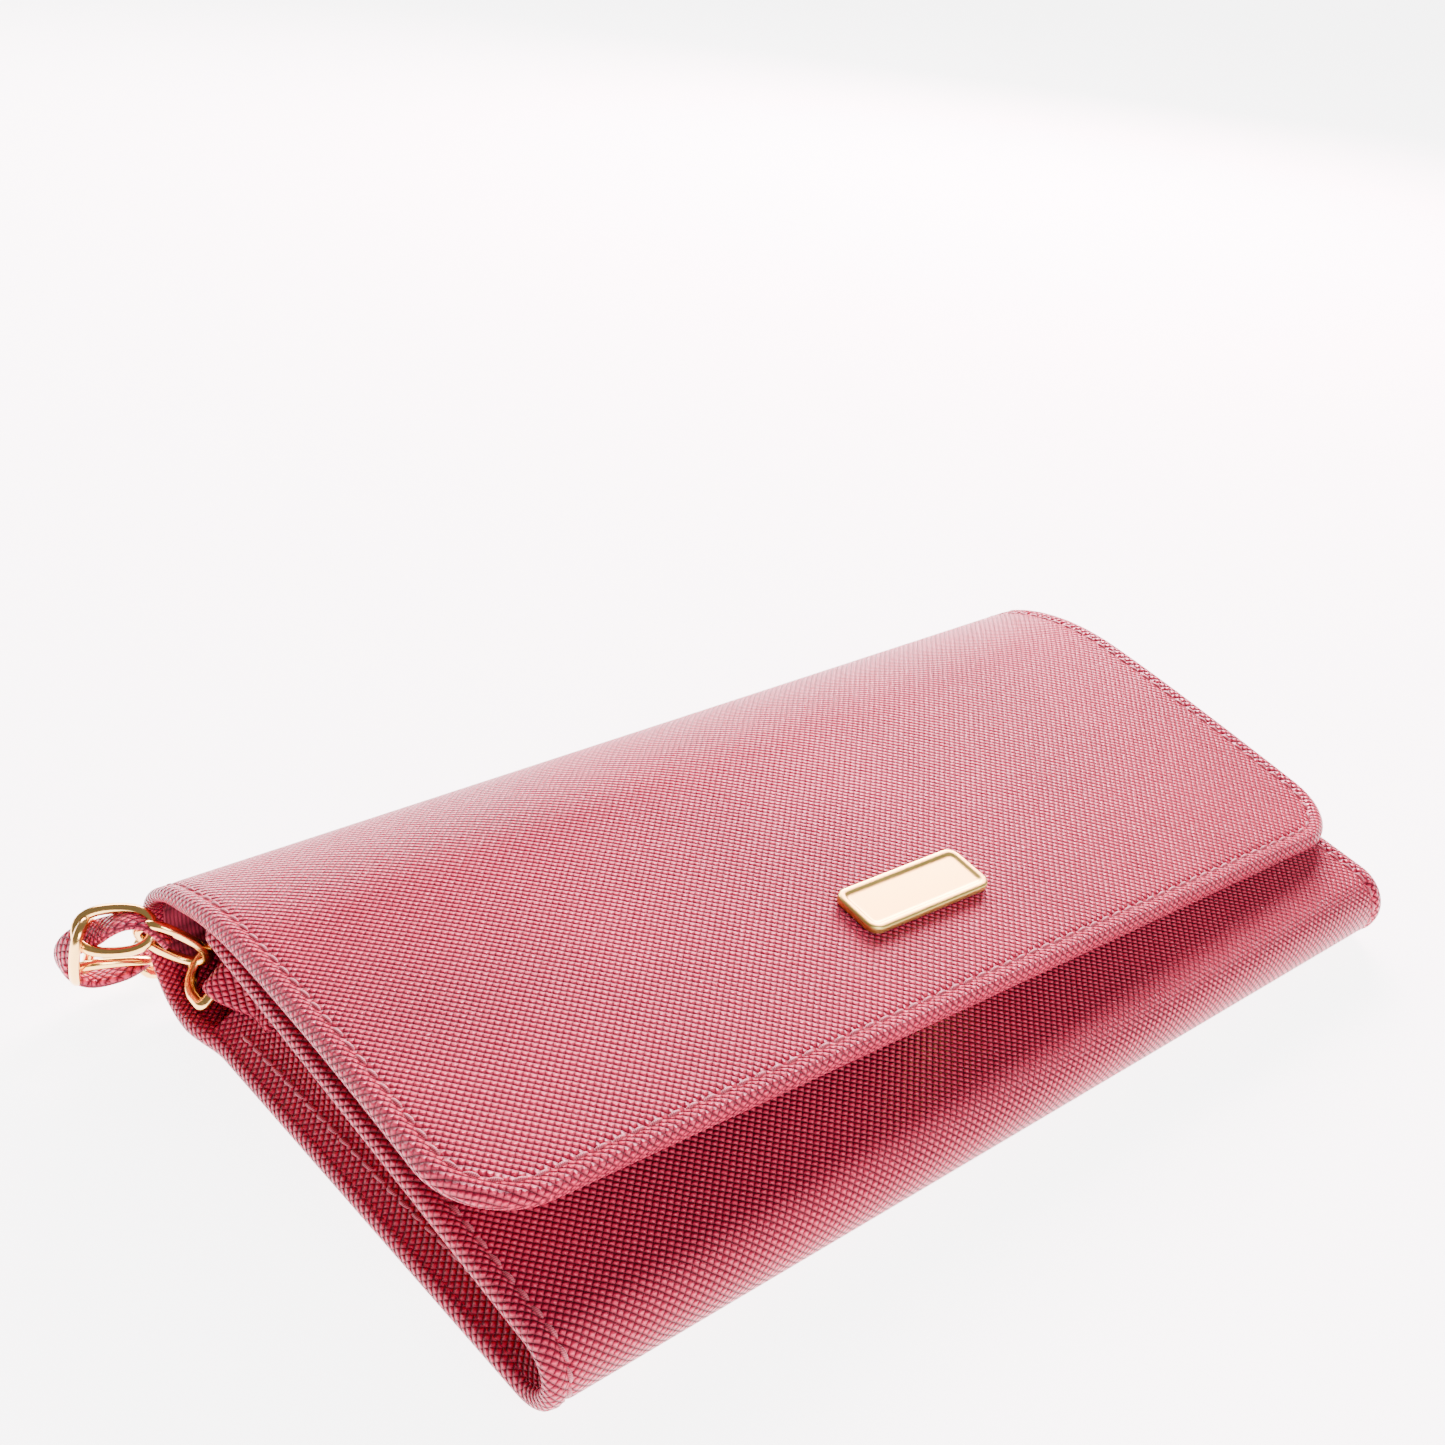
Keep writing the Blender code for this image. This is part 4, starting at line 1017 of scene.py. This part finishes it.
def plate_piece():
    """Height over the flap: a quarter-round rim, a raised border, then the flat field."""
    half_long, half_high = PLATE_LONG / 2, PLATE_HIGH / 2
    steps = np.array([0, 0.04, 0.13, 0.28, 0.45, 0.7, 0.95, 1.15, 1.3, 1.5, 1.9, 2.3])
    v = np.concatenate([-half_high + steps, [-1.6, 0, 1.6], (half_high - steps)[::-1]])
    reach = rounded_reach(half_long, half_high - np.abs(v), PLATE_CORNER)[:, None]
    inner = np.linspace(-1, 1, 12)[None] * (reach - 2.6)
    u = np.hstack([-reach + steps, inner, (reach - steps)[:, ::-1]])
    v = np.broadcast_to(v[:, None], u.shape)
    d = rounded_inset(half_long - np.abs(u), half_high - np.abs(v), PLATE_CORNER)
    field = BORDER_HIGH / (1 + np.exp(-(d - BORDER_WIDE) / 0.07))
    top = PLATE_THICK - quarter_drop(d, RIM_RADIUS) - field
    foot = np.where(d < 1e-6, 0.15, 0.0)
    points, faces = slab(np.stack([u, v, top], axis=-1), np.stack([u, v, foot], axis=-1))
    slope_x = float(flap_height(1.0, PLATE_UP) - flap_height(-1.0, PLATE_UP)) / 2
    slope_y = float(flap_height(0.0, PLATE_UP + 1) - flap_height(0.0, PLATE_UP - 1)) / 2
    across = unit(np.array([1.0, 0.0, slope_x]))
    out = unit(np.cross(across, unit(np.array([0.0, 1.0, slope_y]))))
    seat = np.array([0.0, PLATE_UP, float(flap_height(0.0, PLATE_UP))]) + out * PLATE_LIFT
    points = seat + points[:, :1] * across + points[:, 1:2] * np.cross(out, across) + points[:, 2:] * out
    obj = make_piece("name_plate_face", points, faces, smooth=40)
    obj.data.materials.append(satin_gold)
    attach(obj, "flap")
    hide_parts("name_plate")


plate_piece()

# %% [markdown]
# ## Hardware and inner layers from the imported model
# The snap, the zip and the card pockets already have their true shapes.
# Each is copied, its loose triangles are joined, and its edges get a small round,
# because no real edge is perfectly sharp. Hidden boards only need their finish.

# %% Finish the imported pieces
FINISHES = {
    "card_slot": (flat_leather, 0.12), "zip_tape": (tape, 0.06),
    "zip_teeth": (gold, 0.08), "zip_stop": (gold, 0.12), "zip_slider": (gold, 0.2),
    "zip_puller": (gold, 0.18), "snap": (gold, 0.12), "plate_washer": (gold, 0.06),
    "back_lining": (lining, 0.08), "front_lining": (lining, 0.08), "spine_lining": (lining, 0.08),
    "zip_pocket_wall": (lining, 0.08), "back_board": (board, 0.08), "front_board": (board, 0.08),
}


def finished_copy(node, material, width):
    """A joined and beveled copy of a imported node, riding on the node's own body."""
    source = frame["nodes"][node]
    body = bmesh.new()
    body.from_mesh(source.data)
    bmesh.ops.remove_doubles(body, verts=body.verts, dist=1e-6)
    bmesh.ops.dissolve_limit(body, angle_limit=math.radians(1), verts=body.verts, edges=body.edges)
    mesh = bpy.data.meshes.new(f"{node}_finished")
    body.to_mesh(mesh)
    body.free()
    mesh.materials.append(material)
    mesh.shade_smooth()
    mesh.set_sharp_from_angle(angle=math.radians(38))
    obj = link_mesh(f"{node}_finished", mesh)
    soften = obj.modifiers.new("edge", "BEVEL")
    soften.width = width * MM
    soften.segments = 2
    soften.limit_method = "ANGLE"
    soften.harden_normals = True
    soften.angle_limit = math.radians(40)
    return obj


bodies = frame["record"]["behaviour"]["bodies"]
for node in sorted(frame["nodes"]):
    if frame["nodes"][node].hide_render:
        continue
    material, width = next(value for key, value in FINISHES.items() if node.startswith(key))
    copy = finished_copy(node, material, width)
    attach(copy, next(body for body, nodes in bodies.items() if node in nodes))
    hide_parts(node)

# %% [markdown]
# ## Floor and light
# The wallet lies on a plain white table, which glows, so that it stays white and
# its shadows stay pale. A soft light stands behind, a pink one at the far right
# gives the leather its pale sheen there, and one in front lights the front edge.

# %% Floor and lights
def softbox(name, place, aim, wide, high, power, tint=(1.0, 1.0, 1.0)):
    """A rectangular area light that faces a point."""
    data = bpy.data.lights.new(name, "AREA")
    data.shape = "RECTANGLE"
    data.size, data.size_y, data.energy, data.color = wide, high, power, tint
    light = bpy.data.objects.new(name, data)
    bpy.context.scene.collection.objects.link(light)
    turn = (Vector(aim) - Vector(place)).to_track_quat("-Z", "Y").to_matrix().to_4x4()
    light.matrix_world = Matrix.Translation(place) @ turn


GLOW, GLOW_STRENGTH, WORLD_STRENGTH = (1, 0.985, 0.99, 1), 6.0, 0.26
HALF, TOP = 3, -0.0004
paper = Finish("white_table", Roughness=0.9, Emission_Color=GLOW, Emission_Strength=GLOW_STRENGTH)
grain = paper.noise(paper.coordinates("Object"), 30.0)
paper.feed(Base_Color=paper.blend(grain, (0.58, 0.55, 0.56), (0.62, 0.59, 0.60)))
table = bpy.data.meshes.new("table")
corners = [(-HALF, -HALF, TOP), (HALF, -HALF, TOP), (HALF, HALF, TOP), (-HALF, HALF, TOP)]
table.from_pydata(corners, [], [(0, 1, 2, 3)])
table.materials.append(paper.material)
floor = link_mesh("table", table)
floor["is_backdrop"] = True

world = bpy.data.worlds.new("studio")
world.use_nodes = True
world.node_tree.nodes["Background"].inputs[0].default_value = (1, 1, 1, 1)
world.node_tree.nodes["Background"].inputs[1].default_value = WORLD_STRENGTH
bpy.context.scene.world = world
softbox("back_box", (0.25, 0.80, 0.55), (0.0, 0.02, 0.02), 0.8, 0.35, 22, (1.0, 0.86, 0.90))
softbox("right_box", (0.60, 0.46, 0.38), (0.07, 0.02, 0.02), 0.36, 0.3, 40, (1.0, 0.56, 0.68))
softbox("front_box", (-0.05, -0.9, 0.6), (0.0, 0.0, 0.02), 0.6, 0.5, 17)

# %% Print how much the sizes grew
seen_box = [list(corner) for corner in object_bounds()]
growth = [[round((v - c) * 1000, 2) for c, v in zip(a, b)] for a, b in zip(cad_box, seen_box)]
print("grown by, mm:", growth)
